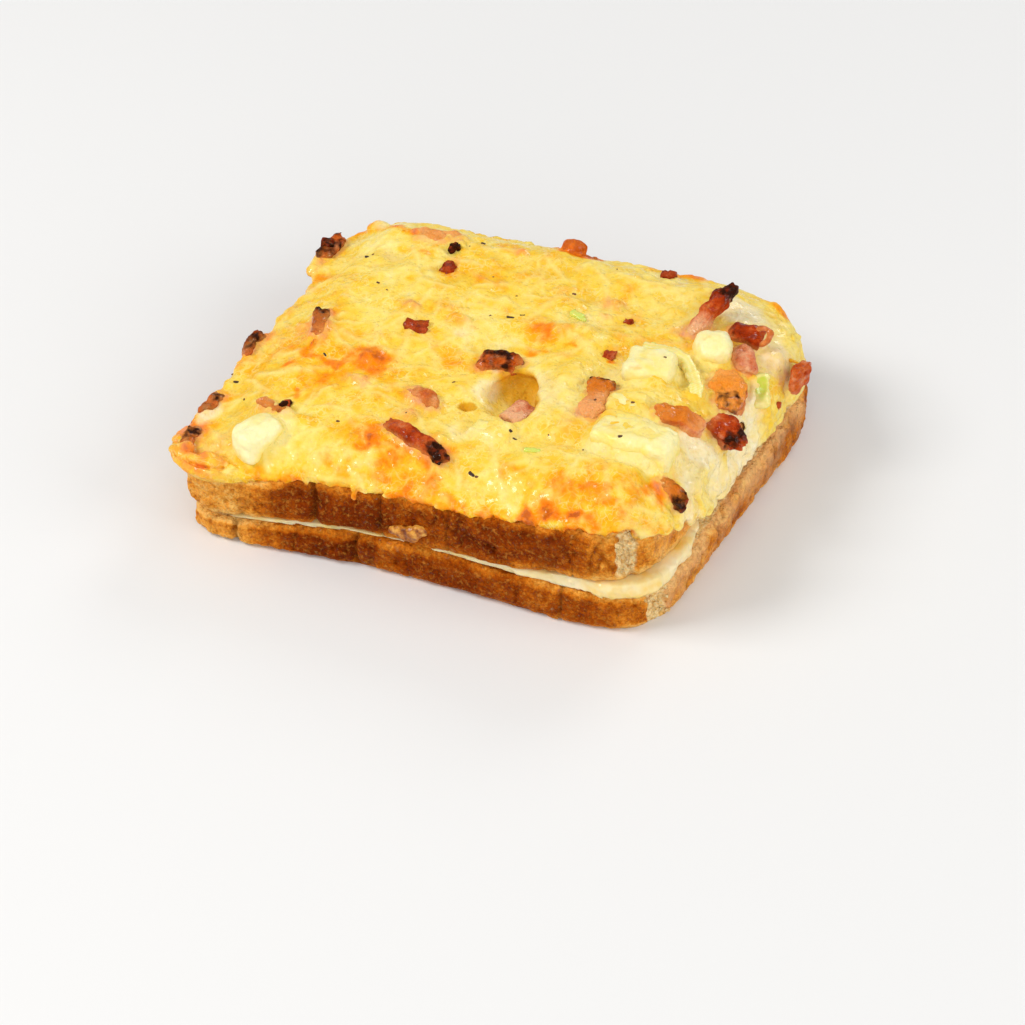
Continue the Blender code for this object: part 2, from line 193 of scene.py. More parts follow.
def copy_solids(name, chosen):
    """One object from copies of CAD solids, without their plain materials."""
    copies = []
    for node in chosen:
        copied = bpy.data.objects.new(name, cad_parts[node].data.copy())
        bpy.context.scene.collection.objects.link(copied)
        copied.data.materials.clear()
        merge_points(copied)
        copies.append(copied)
    return join(name, copies)


def even_skin(piece, square, rounds):
    """Small even squares, `square` mm wide, softened so many times."""
    finish_modifier(piece, "REMESH", mode="VOXEL", voxel_size=square * MM)
    finish_modifier(piece, "SMOOTH", factor=0.5, iterations=rounds)
    bpy.ops.object.shade_smooth()


# %% Read, move and paint points
def skin(piece):
    """Its points in mm, and the outward direction at each."""
    mesh = piece.data
    points = np.empty(len(mesh.vertices) * 3)
    mesh.vertices.foreach_get("co", points)
    ways = np.empty(len(mesh.vertices) * 3, dtype=np.float32)
    mesh.vertex_normals.foreach_get("vector", ways)
    return points.reshape(-1, 3) / MM, ways.reshape(-1, 3).astype(float)


def reshape(piece, points):
    """Writes its points back, from mm."""
    piece.data.vertices.foreach_set("co", (points * MM).ravel())
    piece.data.update()


def paint(piece, name, values):
    """A mask from 0 to 1 that a material can read by its name, as an array or one number."""
    if name in piece.data.attributes:
        layer = piece.data.attributes[name]
    else:
        layer = piece.data.attributes.new(name, "FLOAT", "POINT")
    values = np.broadcast_to(values, len(piece.data.vertices))
    layer.data.foreach_set("value", np.clip(values, 0, 1).astype(np.float32))


def surface_tree(piece):
    """For finding the nearest place on a piece."""
    return BVHTree.FromObject(piece, bpy.context.evaluated_depsgraph_get())


def ramp(values, start, end):
    """0 before start, 1 after end, and a soft curve between."""
    share = np.clip((values - start) / (end - start), 0, 1)
    return share * share * (3 - 2 * share)


# %% [markdown]
# ### Random relief
#
# Lumps, wrinkles and browned patches are all smooth noise at different sizes.
# Blender has noise textures, but relief, colour masks and small pieces must agree
# here, so one noise is written for arrays of points. Each corner of an even grid
# gets a fixed random number, and a point takes the soft mean of its eight corners.

# %% Smooth noise and round cells
# The large numbers only scramble the corner's own numbers; their values mean nothing
def corner_value(cell, seed):
    """A fixed random number from 0 to 1 for each whole-number corner."""
    h = cell[..., 0] * 73856093 ^ cell[..., 1] * 19349663 ^ cell[..., 2] * 83492791
    h = (h ^ seed * 40503) & 0xFFFFFFFF
    for _ in range(2):
        h = ((h ^ h >> 15) * 73244475) & 0xFFFFFFFF
    return (h ^ h >> 16) / 0xFFFFFFFF


# The grid is turned, so that none of its lines runs along an edge of the food
TURN = np.array(Euler((0.6, 0.4, 0.9)).to_matrix())


def mottle(points, size, seed=1):
    """Soft relief from -1 to 1. `size` is the width of one lump in mm."""
    place = points @ TURN / size
    cell = np.floor(place).astype(np.int64)
    share = place - cell
    share = share * share * (3 - 2 * share)
    total = np.zeros(len(points))
    for corner in itertools.product((0, 1), repeat=3):
        weight = np.prod(np.where(corner, share, 1 - share), axis=1)
        total += weight * corner_value(cell + np.array(corner), seed)
    return total * 2 - 1


def rough(points, size, seed=1):
    """Lumps with smaller lumps on them."""
    return (
        mottle(points, size, seed)
        + 0.5 * mottle(points, size * 0.47, seed + 1)
        + 0.25 * mottle(points, size * 0.21, seed + 2)
    ) / 1.4


def bubbles(points, size, seed=1):
    """Distance to the nearest of many scattered points, in bubble widths."""
    place = points @ TURN / size
    cell = np.floor(place).astype(np.int64)
    nearest = np.full(len(points), 9.0)
    for step in itertools.product((-1, 0, 1), repeat=3):
        near = cell + np.array(step)
        spot = near + np.stack([corner_value(near, seed + k) for k in range(3)], axis=1)
        nearest = np.minimum(nearest, np.linalg.norm(place - spot, axis=1))
    return nearest


def round_cells(points, size, seed, reach, soft):
    """1 in the middle of scattered round cells, 0 beyond their reach, in cell widths."""
    return ramp(reach - bubbles(points, size, seed), 0, soft)


def wandered(points, size, seed, far):
    """Points shifted sideways, so that what is drawn at them has ragged outlines."""
    shift = [mottle(points, size, seed), mottle(points, size, seed + 1), 0 * points[:, 0]]
    return points + far * np.stack(shift, axis=1)


# %% Places seen from above
def turned_places(points, x, y, turn):
    """Places measured from (x, y), across and along a direction turned by so many degrees."""
    c, s = math.cos(math.radians(turn)), math.sin(math.radians(turn))
    from_x, from_y = points[:, 0] - x, points[:, 1] - y
    return from_x * c + from_y * s, from_y * c - from_x * s


def spot(points, x, y, radius_x, radius_y=None, turn=0.0):
    """1 at (x, y) seen from above, falling softly to 0 at the radius."""
    across, along = turned_places(points, x, y, turn)
    far = np.hypot(across / radius_x, along / (radius_y or radius_x))
    return 1 - ramp(far, 0.25, 1.0)


def path_distance(points, stops):
    """Distance seen from above to a line through the stops."""
    best = np.full(len(points), 1e9)
    for a, b in zip(stops, stops[1:]):
        a, b = np.array(a, float), np.array(b, float)
        along = np.clip((points[:, :2] - a) @ (b - a) / ((b - a) @ (b - a)), 0, 1)
        aside = points[:, :2] - a - along[:, None] * (b - a)
        best = np.minimum(best, np.linalg.norm(aside, axis=1))
    return best


SPOKES = 480


def from_edge(points):
    """How far in from the outline, in mm. The outline is measured along spokes from its middle."""
    middle = (points[:, :2].min(axis=0) + points[:, :2].max(axis=0)) / 2
    away = points[:, :2] - middle
    angle, far = np.arctan2(away[:, 1], away[:, 0]), np.hypot(away[:, 0], away[:, 1])
    spoke = (angle + math.pi) / (2 * math.pi) * SPOKES
    reach = np.zeros(SPOKES)
    np.maximum.at(reach, spoke.astype(int) % SPOKES, far)
    reach = (np.roll(reach, 1) + reach + np.roll(reach, -1)) / 3
    slant = (np.roll(reach, -2) - np.roll(reach, 2)) / (4 * 2 * math.pi / SPOKES) / reach
    here = np.interp(spoke - 0.5, np.arange(SPOKES), reach, period=SPOKES)
    slanted = 1 / np.sqrt(1 + slant ** 2)
    return (here - far) * np.interp(spoke - 0.5, np.arange(SPOKES), slanted, period=SPOKES)


print("noise ready", round(float(mottle(np.array([[1.0, 2.0, 3.0]]), 5)[0]), 3))

# %% [markdown]
# ## Bread
#
# The slices are cut from a tin loaf. Their edges are real crust: it is
# wrinkled, pitted where bubbles burst, split where it was bent, and torn off at
# the front right corner, where the pale crumb shows. The cut faces are open
# crumb. One function shapes both slices, because only their cracks, tears and
# darkest stretches differ, and those are given as places in mm.

# %% Where the crust is split, torn and darkest
# Splits and torn corners: (x, y, width, depth)
TOP_SPLITS = [
    (-31.6, -51, 0.8, 1.6), (-14.6, -51, 0.5, 0.7), (3.5, -51, 0.45, 0.4), (53.8, -42, 0.7, 0.7),
    (-69, -30, 0.7, 0.8), (-62, 22, 0.8, 1.0), (-30, 53, 0.8, 1.0), (38, 53, 0.7, 0.8),
]
BOTTOM_SPLITS = [
    (-21.4, -51, 0.8, 1.7), (-52.4, -52, 0.7, 1.3), (33.0, -51, 0.5, 0.5), (62.6, -15, 0.9, 1.3),
    (66.8, 17, 0.8, 1.2), (-67, -22, 0.8, 1.0), (-42, 53, 0.8, 1.0), (20, 53, 0.9, 1.1),
]
TOP_TEARS = [(49.9, -49.2, 3.0, 2.2)]
BOTTOM_TEARS = [(56.2, -44.6, 3.2, 2.4)]


def toasting(points):
    """How dark the crust is: pale at the front left corner, darkest along the front."""
    x, y = points[:, 0], points[:, 1]
    front = ramp(-y, 44, 50)
    back = ramp(y, 44, 50)
    right = ramp(x, 46, 54) * (1 - front)
    pale_left = ramp(-x, 48, 60) * (1 - front) * ramp(-y, 10, 40)
    dark = np.full(len(points), 0.50)
    dark += front * (0.46 * ramp(x, -54, -36) - 0.24 * ramp(x, 12, 50) - 0.28)
    dark += back * 0.14 - right * (0.26 - 0.20 * ramp(y, -34, 0)) - 0.30 * pale_left
    return dark


print("splits", len(TOP_SPLITS) + len(BOTTOM_SPLITS), "tears", len(TOP_TEARS) + len(BOTTOM_TEARS))

# %% [markdown]
# ### The slices settle
#
# In the oven the bed of filling melts and the slices sink into it, most at the
# front and on the right, where the cheese is heavy. Each upper and lower face
# sinks by its own share, and what lies between follows in proportion, so the
# slices and the bed still touch. Bending a flat face needs its height at every
# place, and a smooth sheet fitted through its points gives that.

# %% Sink the faces that touch the filling
CUT_FACE = 0.9


def face_height(points, ways, up):
    """Height of the upper (up=1) or lower (up=-1) face under every point, as a smooth sheet."""
    flat = ways[:, 2] * up > CUT_FACE
    x, y = points[:, 0] / 60, points[:, 1] / 60
    terms = np.stack([x ** i * y ** j for i in range(4) for j in range(4 - i)], axis=1)
    shape, *_ = np.linalg.lstsq(terms[flat], points[flat, 2], rcond=None)
    return terms @ shape


def height_share(points, ways):
    """0 on the lower face and 1 on the upper face."""
    over, under = face_height(points, ways, 1), face_height(points, ways, -1)
    return np.clip((points[:, 2] - under) / (over - under), 0, 1)


def sinking(points):
    """How far the face under the filling and the face over it have sunk, in mm."""
    soft = 1 - 0.6 * ramp(points[:, 1], -30, 30)
    under = (2.3 - 0.3 * ramp(points[:, 0], 0, 40)) * soft
    over = (2.4 + 1.3 * ramp(points[:, 0], -10, 35)) * soft
    return np.stack([under, over], axis=1)


# Which of the two sinkings a face follows
STAYS = np.array([0.0, 0.0])
UNDER_BED = np.array([1.0, 0.0])
OVER_BED = np.array([0.0, 1.0])


def settle(piece, top_drop, bottom_drop):
    """Lets the upper and the lower face sink; each drop is STAYS, UNDER_BED or OVER_BED."""
    points, ways = skin(piece)
    share = height_share(points, ways)
    sink = sinking(points)
    points[:, 2] -= share * (sink @ top_drop) + (1 - share) * (sink @ bottom_drop)
    reshape(piece, points)


def thin_out(piece, hidden, keep):
    """Fewer faces where nothing but an even surface is seen, or nothing at all."""
    group = piece.vertex_groups.new(name="thinned")
    group.add(hidden.tolist(), 1.0, "REPLACE")
    ratio = 1 - (1 - keep) * (len(hidden) / len(piece.data.vertices))
    finish_modifier(
        piece, "DECIMATE", ratio=ratio, vertex_group="thinned", vertex_group_factor=1
    )
    piece.vertex_groups.clear()


def thin_faces(piece, inside, keep):
    """Thins the cut faces of a slice, from so many mm inside its outline."""
    points, ways = skin(piece)
    level = (np.abs(ways[:, 2]) > CUT_FACE) & (from_edge(points) > inside)
    thin_out(piece, np.flatnonzero(level), keep)


corner = np.array([[50.0, -45.0, 0.0]])
print("sinks at the front right corner by mm", sinking(corner).round(1).tolist())

# %% Crust, splits and torn corners
SLICE_SQUARE = 0.56


def wrinkles(points, seed):
    """Relief of the crust, and its sharp folds."""
    upright = points * np.array([1, 1, 0.3])
    some = ramp(mottle(points, 11, seed + 16), -0.3, 0.5)
    folds = np.exp(-(mottle(upright, 3.4, seed + 14) / 0.13) ** 2) * some
    burst = ramp(mottle(points, 7, seed + 12), -0.2, 0.4)
    burst = burst * round_cells(points, 2.4, seed + 9, 0.36, 0.2)
    lift = 0.36 * rough(points, 8.5, seed) + 0.36 * rough(points, 2.9, seed + 5)
    lift += 0.24 * mottle(points, 1.3, seed + 7)
    return lift - (0.55 * burst + 0.55 * folds), folds


def split_gash(points, x, y, width, seed):
    """1 in a split that runs down the crust; on the front and back crust it stays upright."""
    wander = 0.55 * mottle(points, 3.0, seed + 40)
    far = np.hypot(points[:, 0] - x + wander, points[:, 1] - y + wander)
    upright = np.abs(points[:, 0] - x + wander) + 40 * (far > 7)
    far = np.where(np.abs(points[:, 1]) > 46, upright, far)
    return np.exp(-(far / width) ** 2)


def torn_corner(points, x, y, width, depth, seed):
    """Where the crust is gone at a corner, and how deep the pitted crumb lies there."""
    far = np.hypot(points[:, 0] - x, points[:, 1] - y) + 1.1 * mottle(points, 2.6, seed + 50)
    torn = 1 - ramp(far, 0.75 * width, 1.0 * width)
    pitted = round_cells(points, 1.9, seed + 65, 0.45, 0.25)
    return torn, torn * (depth * 0.6 + 1.0 * rough(points, 2.1, seed + 60) + 0.8 * pitted)


# %% Shape a slice
def bake_slice(name, node, top_drop, bottom_drop, splits, tears, seed):
    """A slice: settled, thinned on its cut faces, wrinkled, split, torn and painted."""
    piece = copy_solids(name, [node])
    even_skin(piece, SLICE_SQUARE, 5)
    settle(piece, top_drop, bottom_drop)
    thin_faces(piece, 5, 0.12)
    points, ways = skin(piece)
    height, inward = height_share(points, ways), from_edge(points)
    crust = 1 - ramp(inward, 1.8, 3.2)
    to_rim = np.minimum(height, 1 - height) + 0.05 * mottle(points, 4.0, seed + 3)
    rims = 1 - ramp(to_rim, 0.04, 0.24)
    lift, folds = wrinkles(points, seed)
    pores = round_cells(points, 2.6, seed + 30, 0.4, 0.3)
    open_crumb = 0.22 * rough(points, 1.9, seed + 20) - 0.3 * pores
    move = crust * lift + (1 - crust) * open_crumb
    bare = np.zeros(len(points))
    split_shade = 0.55 * folds * crust
    for x, y, width, depth in splits:
        gash = split_gash(points, x, y, width, seed)
        move -= depth * gash * crust
        split_shade = np.maximum(split_shade, gash * crust)
    for x, y, width, depth in tears:
        torn, hollow = torn_corner(points, x, y, width, depth, seed)
        move -= hollow
        bare = np.maximum(bare, torn)
    move *= ramp(points[:, 2] - cad_low.z / MM, 0.0, 0.5)
    moved = points + ways * move[:, None]
    uneven_rim = crust * rims * 0.45 * mottle(points, 6.5, seed + 75)
    moved[:, 2] += uneven_rim * ramp(moved[:, 2], 0.2, 1.2)
    reshape(piece, moved)
    paint(piece, "bare_crumb", np.maximum(bare, ramp(inward, 2.2, 3.4)))
    tone = toasting(points) + 0.16 * rough(points, 9, seed + 70)
    tone = tone + 0.12 * rough(points, 2.6, seed + 72)
    # Painted shade: pits of the crust are painted darker and bumps lighter
    shade_relief = lift - 0.36 * rough(points, 8.5, seed)
    paint(piece, "toasted", tone - 0.16 * shade_relief - 0.26 * rims)
    right = ramp(points[:, 0], 50, 56) * ramp(points[:, 1], -48, -40)
    right = right * (1 - ramp(points[:, 1], 30, 45))
    paint(piece, "film", right * (0.75 + 0.5 * rough(points, 6, seed + 80)) * (0.5 + 0.5 * height))
    # Painted shade: splits and folds are painted dark
    paint(piece, "split", split_shade)
    print(name, len(points), "points")
    return piece


bread_bottom = bake_slice(
    "baked_bread_bottom", "bread_bottom", UNDER_BED, STAYS, BOTTOM_SPLITS, BOTTOM_TEARS, 11
)
bread_top = bake_slice("baked_bread_top", "bread_top", STAYS, OVER_BED, TOP_SPLITS, TOP_TEARS, 37)

# %% [markdown]
# ## Filling
#
# Between the slices is a thin bed of cream and cheese. It is almost level with
# the front crust and squeezes out at the front right corner, where the slices
# gape. It settles with them. Only its rim is seen, so the relief works on the
# rim: it runs in and out, and foam has dried on it in small round swellings.

# %% Shape the filling
FILLING_SQUARE = 0.62
filling = copy_solids("melted_filling", ["filling"])
even_skin(filling, FILLING_SQUARE, 3)
settle(filling, OVER_BED, UNDER_BED)
thin_faces(filling, 7, 0.06)
points, ways = skin(filling)
rim = ramp(1 - np.abs(ways[:, 2]), 0.2, 0.7)
foam = round_cells(points, 2.6, 83, 0.5, 0.4)
bulge = -0.4 + 0.8 * rough(points, 6.0, 81) + 0.4 * rough(points, 2.0, 85) + 0.5 * foam
bulge += 2.2 * spot(points, 50, -48, 17) + 1.6 * spot(points, 60, -25, 16)
reshape(filling, points + ways * (rim * bulge)[:, None] * np.array([1, 1, 0.45]))
paint(filling, "yellow", 0.42 + 0.7 * rough(points, 6, 87) + 0.30 * spot(points, 52, -48, 12))
print("melted_filling", len(points), "points")

# %% [markdown]
# ## Bacon
#
# The bacon is cut in short sticks. Fat and meat run along each stick, so its
# relief and its stripes are stretched that way. Heat took the ends that stood up:
# they are black, while what the cheese covered is still pink. Every stick is its
# own solid, so a table says only how fried and how charred its two ends are.

# %% Find the long way of a stick
def long_way(points):
    """Middle of a piece, and its long, middle and short directions."""
    middle = points.mean(axis=0)
    spread = np.cov((points - middle).T)
    _, vectors = np.linalg.eigh(spread)
    axes = vectors[:, ::-1].T
    if axes[0] @ np.array([1.0, 0.55, 0.3]) < 0:
        axes[0] = -axes[0]
    return middle, axes


# The sticks on the left rim sank into the cheese as it melted: (x, y, z) in mm
SUNK = {
    "bacon_left_rim_back": (1.3, 0, -0.5), "bacon_left_rim_middle": (1.5, 0, -0.5),
    "bacon_left_rim_corner": (1.2, 0.6, -0.3), "bacon_back_left": (0.9, -0.3, -0.2),
}


STICK_SQUARE = 0.26


def fry_stick(node, fried, charred, glazed, slim, seed):
    """`fried` and `charred` are (start, end) along the stick; start is its left or front end."""
    piece = copy_solids("fried_" + node, [node])
    even_skin(piece, STICK_SQUARE, 1)
    points, _ = skin(piece)
    middle, axes = long_way(points)
    local = (points - middle) @ axes.T
    halves = np.abs(local).max(axis=0)
    share = (local[:, 0] / halves[0] + 1) / 2
    uneven = mottle(local * np.array([1, 0.2, 0.2]), 2.9, seed + 11)
    waist = slim * (0.86 + 0.24 * np.sin(math.pi * share) + 0.18 * uneven)
    local[:, 1:] *= waist[:, None]
    local[:, 1] += 0.8 * mottle(local * np.array([1, 0.3, 0.3]), 3.6, seed + 12)
    local[:, 2] += 0.55 * mottle(local * np.array([1, 0.3, 0.3]), 3.0, seed + 14)
    local[:, 0] += 1.3 * mottle(points, 1.7, seed + 13) * np.abs(share - 0.5) * 2
    corner = ramp(np.hypot(local[:, 1] / halves[1], local[:, 2] / halves[2]), 0.75, 1.15)
    points = middle + local @ axes + np.array(SUNK.get(node, (0, 0, 0)))
    reshape(piece, points)
    points, ways = skin(piece)
    stretched = local * np.array([0.3, 1.0, 1.0]) + seed
    burnt = charred[0] + (charred[1] - charred[0]) * ramp(share, 0.1, 0.95)
    burnt = burnt + 0.34 * rough(points, 2.0, seed + 3) + 0.08 * (corner - 0.5) + 0.10 * ways[:, 2]
    notches = round_cells(points, 2.3, seed + 18, 0.42, 0.3)
    crisp = 0.26 * rough(stretched, 1.2, seed) + 0.24 * rough(points, 2.1, seed + 4) - 0.3 * notches
    crisp += 0.30 * burnt.clip(0, 1) * mottle(points, 0.9, seed + 6)
    reshape(piece, points + ways * crisp[:, None])
    cooked = fried[0] + (fried[1] - fried[0]) * ramp(share, 0.0, 1.0)
    cooked = cooked + 0.22 * rough(points, 2.4, seed + 7)
    paint(piece, "fried", cooked + 0.14 * (corner - 0.5) - 0.12 * crisp)
    paint(piece, "charred", ramp(burnt, 0.55, 1.05))
    paint(piece, "fat", ramp(rough(stretched * 0.8, 1.3, seed + 8), 0.2, 0.7))
    on_top = ramp(ways[:, 2] + 0.4 * rough(points, 2.0, seed + 9), -0.1, 0.6)
    paint(piece, "glazed", glazed * on_top)
    return piece


# %% How each stick was fried
# node: fried (start, end), charred (start, end), browned cheese on it, thickness left as a
# share of the solid's, and how many mm the cheese climbs it
STICKS = {
    "bacon_front": ((0.56, 0.66), (-0.5, 0.90), 0.0, 0.86, 0.3),
    "bacon_pocket_lip": ((0.56, 0.60), (0.70, 0.78), 0.15, 0.96, 0.2),
    "bacon_standing": ((0.04, 0.74), (-0.7, 0.88), 0.0, 0.90, 0.6),
    "bacon_ridge": ((-0.15, 0.50), (-0.9, 0.78), 0.6, 1.2, 0.1),
    "bacon_right_slope": ((0.44, 0.62), (-0.2, 0.85), 0.0, 1.0, 0.3),
    "bacon_heap": ((0.42, 0.16), (0.3, 0.10), 0.6, 1.18, 0.3),
    "bacon_right_nugget": ((0.34, 0.06), (0.80, -0.3), 1.2, 1.05, 0.4),
    "bacon_right_back": ((0.70, 0.60), (0.5, 0.2), 0.0, 1.15, 0.4),
    "bacon_right_pink": ((0.10, 0.16), (-0.6, -0.6), 0.0, 1.5, 0.6),
    "bacon_flank_end": ((0.66, 0.72), (0.3, 0.95), 0.5, 0.90, 0.9),
    "bacon_right_edge": ((0.42, 0.5), (0.0, 0.4), 0.1, 0.94, 0.5),
    "bacon_left": ((0.50, 0.64), (-0.2, 0.8), 0.2, 0.84, 1.0),
    "bacon_middle": ((0.30, 0.52), (-0.4, 0.6), 0.1, 0.95, 0.8),
    "bacon_potato_left": ((0.46, 0.60), (0.0, 0.8), 0.4, 0.80, 1.0),
    "bacon_back_left": ((0.72, 0.70), (0.8, 0.7), 0.2, 0.86, 0.5),
    "bacon_back_edge": ((0.26, 0.40), (-0.3, 0.2), 0.6, 0.9, 0.9),
    "bacon_left_rim_back": ((0.70, 0.78), (0.6, 0.75), 0.1, 0.80, 0.7),
    "bacon_left_rim_middle": ((0.66, 0.74), (0.5, 0.75), 0.1, 0.80, 0.6),
    "bacon_left_rim_corner": ((0.62, 0.7), (0.6, 0.8), 0.3, 0.86, 0.6),
    "bacon_in_pocket": ((-0.10, 0.16), (-0.6, -0.2), 0.0, 1.7, 0.1),
}
sticks = {
    node: fry_stick(node, fried, charred, glazed, slim, 100 + 10 * n)
    for n, (node, (fried, charred, glazed, slim, _)) in enumerate(STICKS.items())
}
print("sticks", len(sticks), "points", sum(len(s.data.vertices) for s in sticks.values()))

# %% [markdown]
# ## Potato, onion and leek
#
# The potato dice are boiled: their edges have gone round and their faces are
# grainy and a little sunken. The onion layer has fine ribs along its curve, and
# the leek is a soft strip with a green heart. They use the same skin with other
# relief. A strip's solid is narrow, so the leek is widened and its heart pressed
# in, and the onion is widened inwards to a thin curved sheet.

# %% Shape the vegetables
DIE_SQUARE = 0.4


def boil_die(node, cheese_share, rounds, frayed, turn, smaller, seed):
    """A die, softened for so many rounds, then brought back to its size."""
    piece = copy_solids("boiled_" + node, [node])
    size = np.ptp(skin(piece)[0], axis=0)
    even_skin(piece, DIE_SQUARE, rounds)
    points, _ = skin(piece)
    middle = (points.min(axis=0) + points.max(axis=0)) / 2
    local = (points - middle) * size / np.ptp(points, axis=0) * np.array([smaller, smaller, 1.0])
    reshape(piece, middle + local @ np.array(Euler((0, 0, math.radians(turn))).to_matrix()).T)
    points, ways = skin(piece)
    lift = 0.80 * rough(points, 6.5, seed) + 0.28 * rough(points, 2.6, seed + 3) - 0.1
    pitted = round_cells(points, 2.2, seed + 13, 0.4, 0.3)
    lift += frayed * (0.45 * rough(points, 1.3, seed + 11) - 0.5 * pitted)
    reshape(piece, points + ways * lift[:, None])
    paint(piece, "glazed", cheese_share + 0.5 * rough(points, 4.5, seed + 5))
    paint(piece, "toasted", ramp(rough(points, 3.2, seed + 7) + 0.4 * ways[:, 2], 0.8, 1.4))
    return piece


# node: share that cheese covers, rounds of softening, frayed surface, mm that the cheese
# climbs it, turned by so many degrees, and its width as a share of the solid's
DICE = {
    "potato_left_corner": (0.05, 90, 0.25, 0.9, 42, 0.95),
    "potato_back_right": (0.10, 320, 0.10, 0.7, 0, 0.97),
    "potato_with_onion": (0.30, 40, 0.10, 1.3, 20, 1.0),
    "potato_front_heap": (0.50, 26, 0.35, 1.3, 0, 1.02),
    "potato_behind_heap": (0.20, 60, 0.1, 1.0, 0, 1.0),
    "potato_below_pocket": (0.30, 34, 0.3, 1.6, 0, 1.0),
}
dice = {
    node: boil_die(node, share, rounds, frayed, turn, smaller, 400 + 10 * n)
    for n, (node, (share, rounds, frayed, _, turn, smaller)) in enumerate(DICE.items())
}
print("dice", len(dice))


# %% Leek and onion
STRIP_SQUARE = 0.3


def soft_strip(node, rounds, seed):
    """A copy of the solid with the leaf's uneven surface."""
    piece = copy_solids("soft_" + node, [node])
    even_skin(piece, STRIP_SQUARE, rounds)
    points, ways = skin(piece)
    lift = 0.38 * rough(points, 2.6, seed + 1) + 0.15 * mottle(points, 1.2, seed + 2)
    reshape(piece, points + ways * lift[:, None])
    return piece


leek = soft_strip("leek_piece", 90, 501)
points, ways = skin(leek)
middle, axes = long_way(points)
WIDER_LEEK = np.array([1.15, 1.3, 1.3])
local = (points - middle) @ axes.T
local *= WIDER_LEEK
from_heart = np.hypot(*(local[:, :2] / np.abs(local[:, :2]).max(axis=0)).T)
local[:, 2] -= 0.6 * (1 - ramp(from_heart, 0.2, 0.7)) * ways[:, 2].clip(0, 1)
reshape(leek, middle + local @ axes)
paint(leek, "ribs", 1 - ramp(from_heart + 0.25 * rough(points, 2.0, 505), 0.45, 0.85))

# The onion layer widens inwards to a thin sheet; its ribs follow the curve
onion = soft_strip("onion_layer", 3, 511)
points, ways = skin(onion)
ONION_HEART = np.array([33.6, -3.05])
ONION_WIDER = 1.9
RIB_WIDTH = 1.3
outward = points[:, :2] - ONION_HEART
far = np.linalg.norm(outward, axis=1)
wider = far.max() - (far.max() - far) * ONION_WIDER
points[:, :2] = ONION_HEART + outward * (wider / far)[:, None]
points[:, 2] += 0.25 * mottle(points, 3.0, 515)
reshape(onion, points)
turns = wider * 2 * math.pi / RIB_WIDTH + 1.2 * mottle(points, 3, 511)
paint(onion, "ribs", 0.5 + 0.5 * np.sin(turns))
print(leek.name, onion.name)

# %% [markdown]
# ## Cheese topping
#
# This is the piece that everyone looks at: grated cheese on thick cream, melted
# into one skin that hugs whatever lies under it. It could be a cloth simulation
# over the dice, but melted cheese doesn't fold, it wets and climbs. So the solid
# is joined with the things that sit in it and remeshed as one. Where a stick or a
# die stands out, the skin is relaxed to a level sheet, lumps are added at the
# edge, and a burst bubble is cut out. Then relief is added, the lowest band is
# laid on the crust as a hem, and a wet edge rises round everything that stands.

# %% Lumps and drips that hang over the crust
# (x, y, z, half length, half depth, half height, turn)
LUMPS = [
    (-68.2, -49.6, 23.4, 2.1, 1.9, 1.9, 20), (-66.3, -51.6, 23.1, 1.8, 1.4, 1.7, -10),
    (-66.0, -48.6, 24.3, 2.2, 1.9, 1.6, 40), (-63.4, -51.2, 23.8, 1.7, 1.3, 1.5, 0),
    (-61.0, -51.6, 23.5, 1.7, 1.2, 1.4, 5), (-69.4, -46.2, 23.8, 1.4, 1.8, 1.6, 0),
    (-57.6, -51.6, 24.0, 1.9, 1.2, 1.5, 10), (-56.0, -49.8, 24.0, 2.4, 1.4, 1.3, 20),
    (-52.8, -51.2, 24.0, 1.7, 0.9, 1.0, -15), (-59.6, -49.6, 24.4, 1.9, 1.6, 1.2, -20),
    (-21.1, -50.4, 24.4, 1.2, 0.7, 2.2, 0), (-18.0, -50.2, 26.2, 1.9, 0.8, 1.1, 0),
    (-11.6, -50.2, 26.4, 2.2, 0.9, 1.2, 5), (2.0, -50.4, 26.6, 1.6, 0.8, 1.0, 0),
    (1.2, 50.2, 31.4, 3.4, 2.4, 2.6, 10), (-50.0, 44.4, 28.2, 4.0, 3.2, 2.2, -12),
    (60.4, -19.5, 19.0, 1.5, 3.2, 2.2, 12), (-61.6, 29.0, 24.8, 2.2, 5.2, 1.7, -8),
    (52.4, -44.4, 29.6, 3.8, 2.4, 2.2, 42), (55.2, -39.6, 28.8, 2.8, 3.8, 2.8, 25),
    (57.2, -33.8, 27.2, 2.0, 4.8, 4.0, 12), (58.6, -28.0, 25.2, 1.9, 4.6, 5.0, 10),
    (59.8, -23.0, 22.6, 1.8, 3.6, 4.6, 10), (58.3, -18.3, 29.3, 1.8, 3.4, 1.8, 0),
    (58.0, -24.6, 28.9, 1.8, 3.4, 1.8, 0),
]


def ball(place, halves, turn):
    """A rounded lump, made from an icosphere."""
    bpy.ops.object.select_all(action="DESELECT")
    bpy.ops.mesh.primitive_ico_sphere_add(subdivisions=3, radius=MM)
    lump = bpy.context.object
    turned = Euler((0, 0, math.radians(turn)))
    lump.data.transform(Matrix.LocRotScale(Vector(place) * MM, turned, Vector(halves)))
    return lump


lumps = [ball(entry[:3], entry[3:6], entry[6]) for entry in LUMPS]
print("lumps", len(lumps))

# %% How far a point is from a solid
def depths(skin_points, tree, reach, which=None):
    """Distance outside a solid (below 0: inside), its nearest point and outward direction there."""
    far = np.full(len(skin_points), reach)
    place = skin_points.copy()
    normal = np.zeros_like(skin_points)
    for index in range(len(skin_points)) if which is None else which:
        here = Vector(skin_points[index] * MM)
        hit, way, _, _ = tree.find_nearest(here, reach * MM)
        if hit is not None:
            side = 1 if (here - hit).dot(way) > 0 else -1
            far[index] = side * (here - hit).length / MM
            place[index] = np.array(hit) / MM
            normal[index] = way
    return far, place, normal


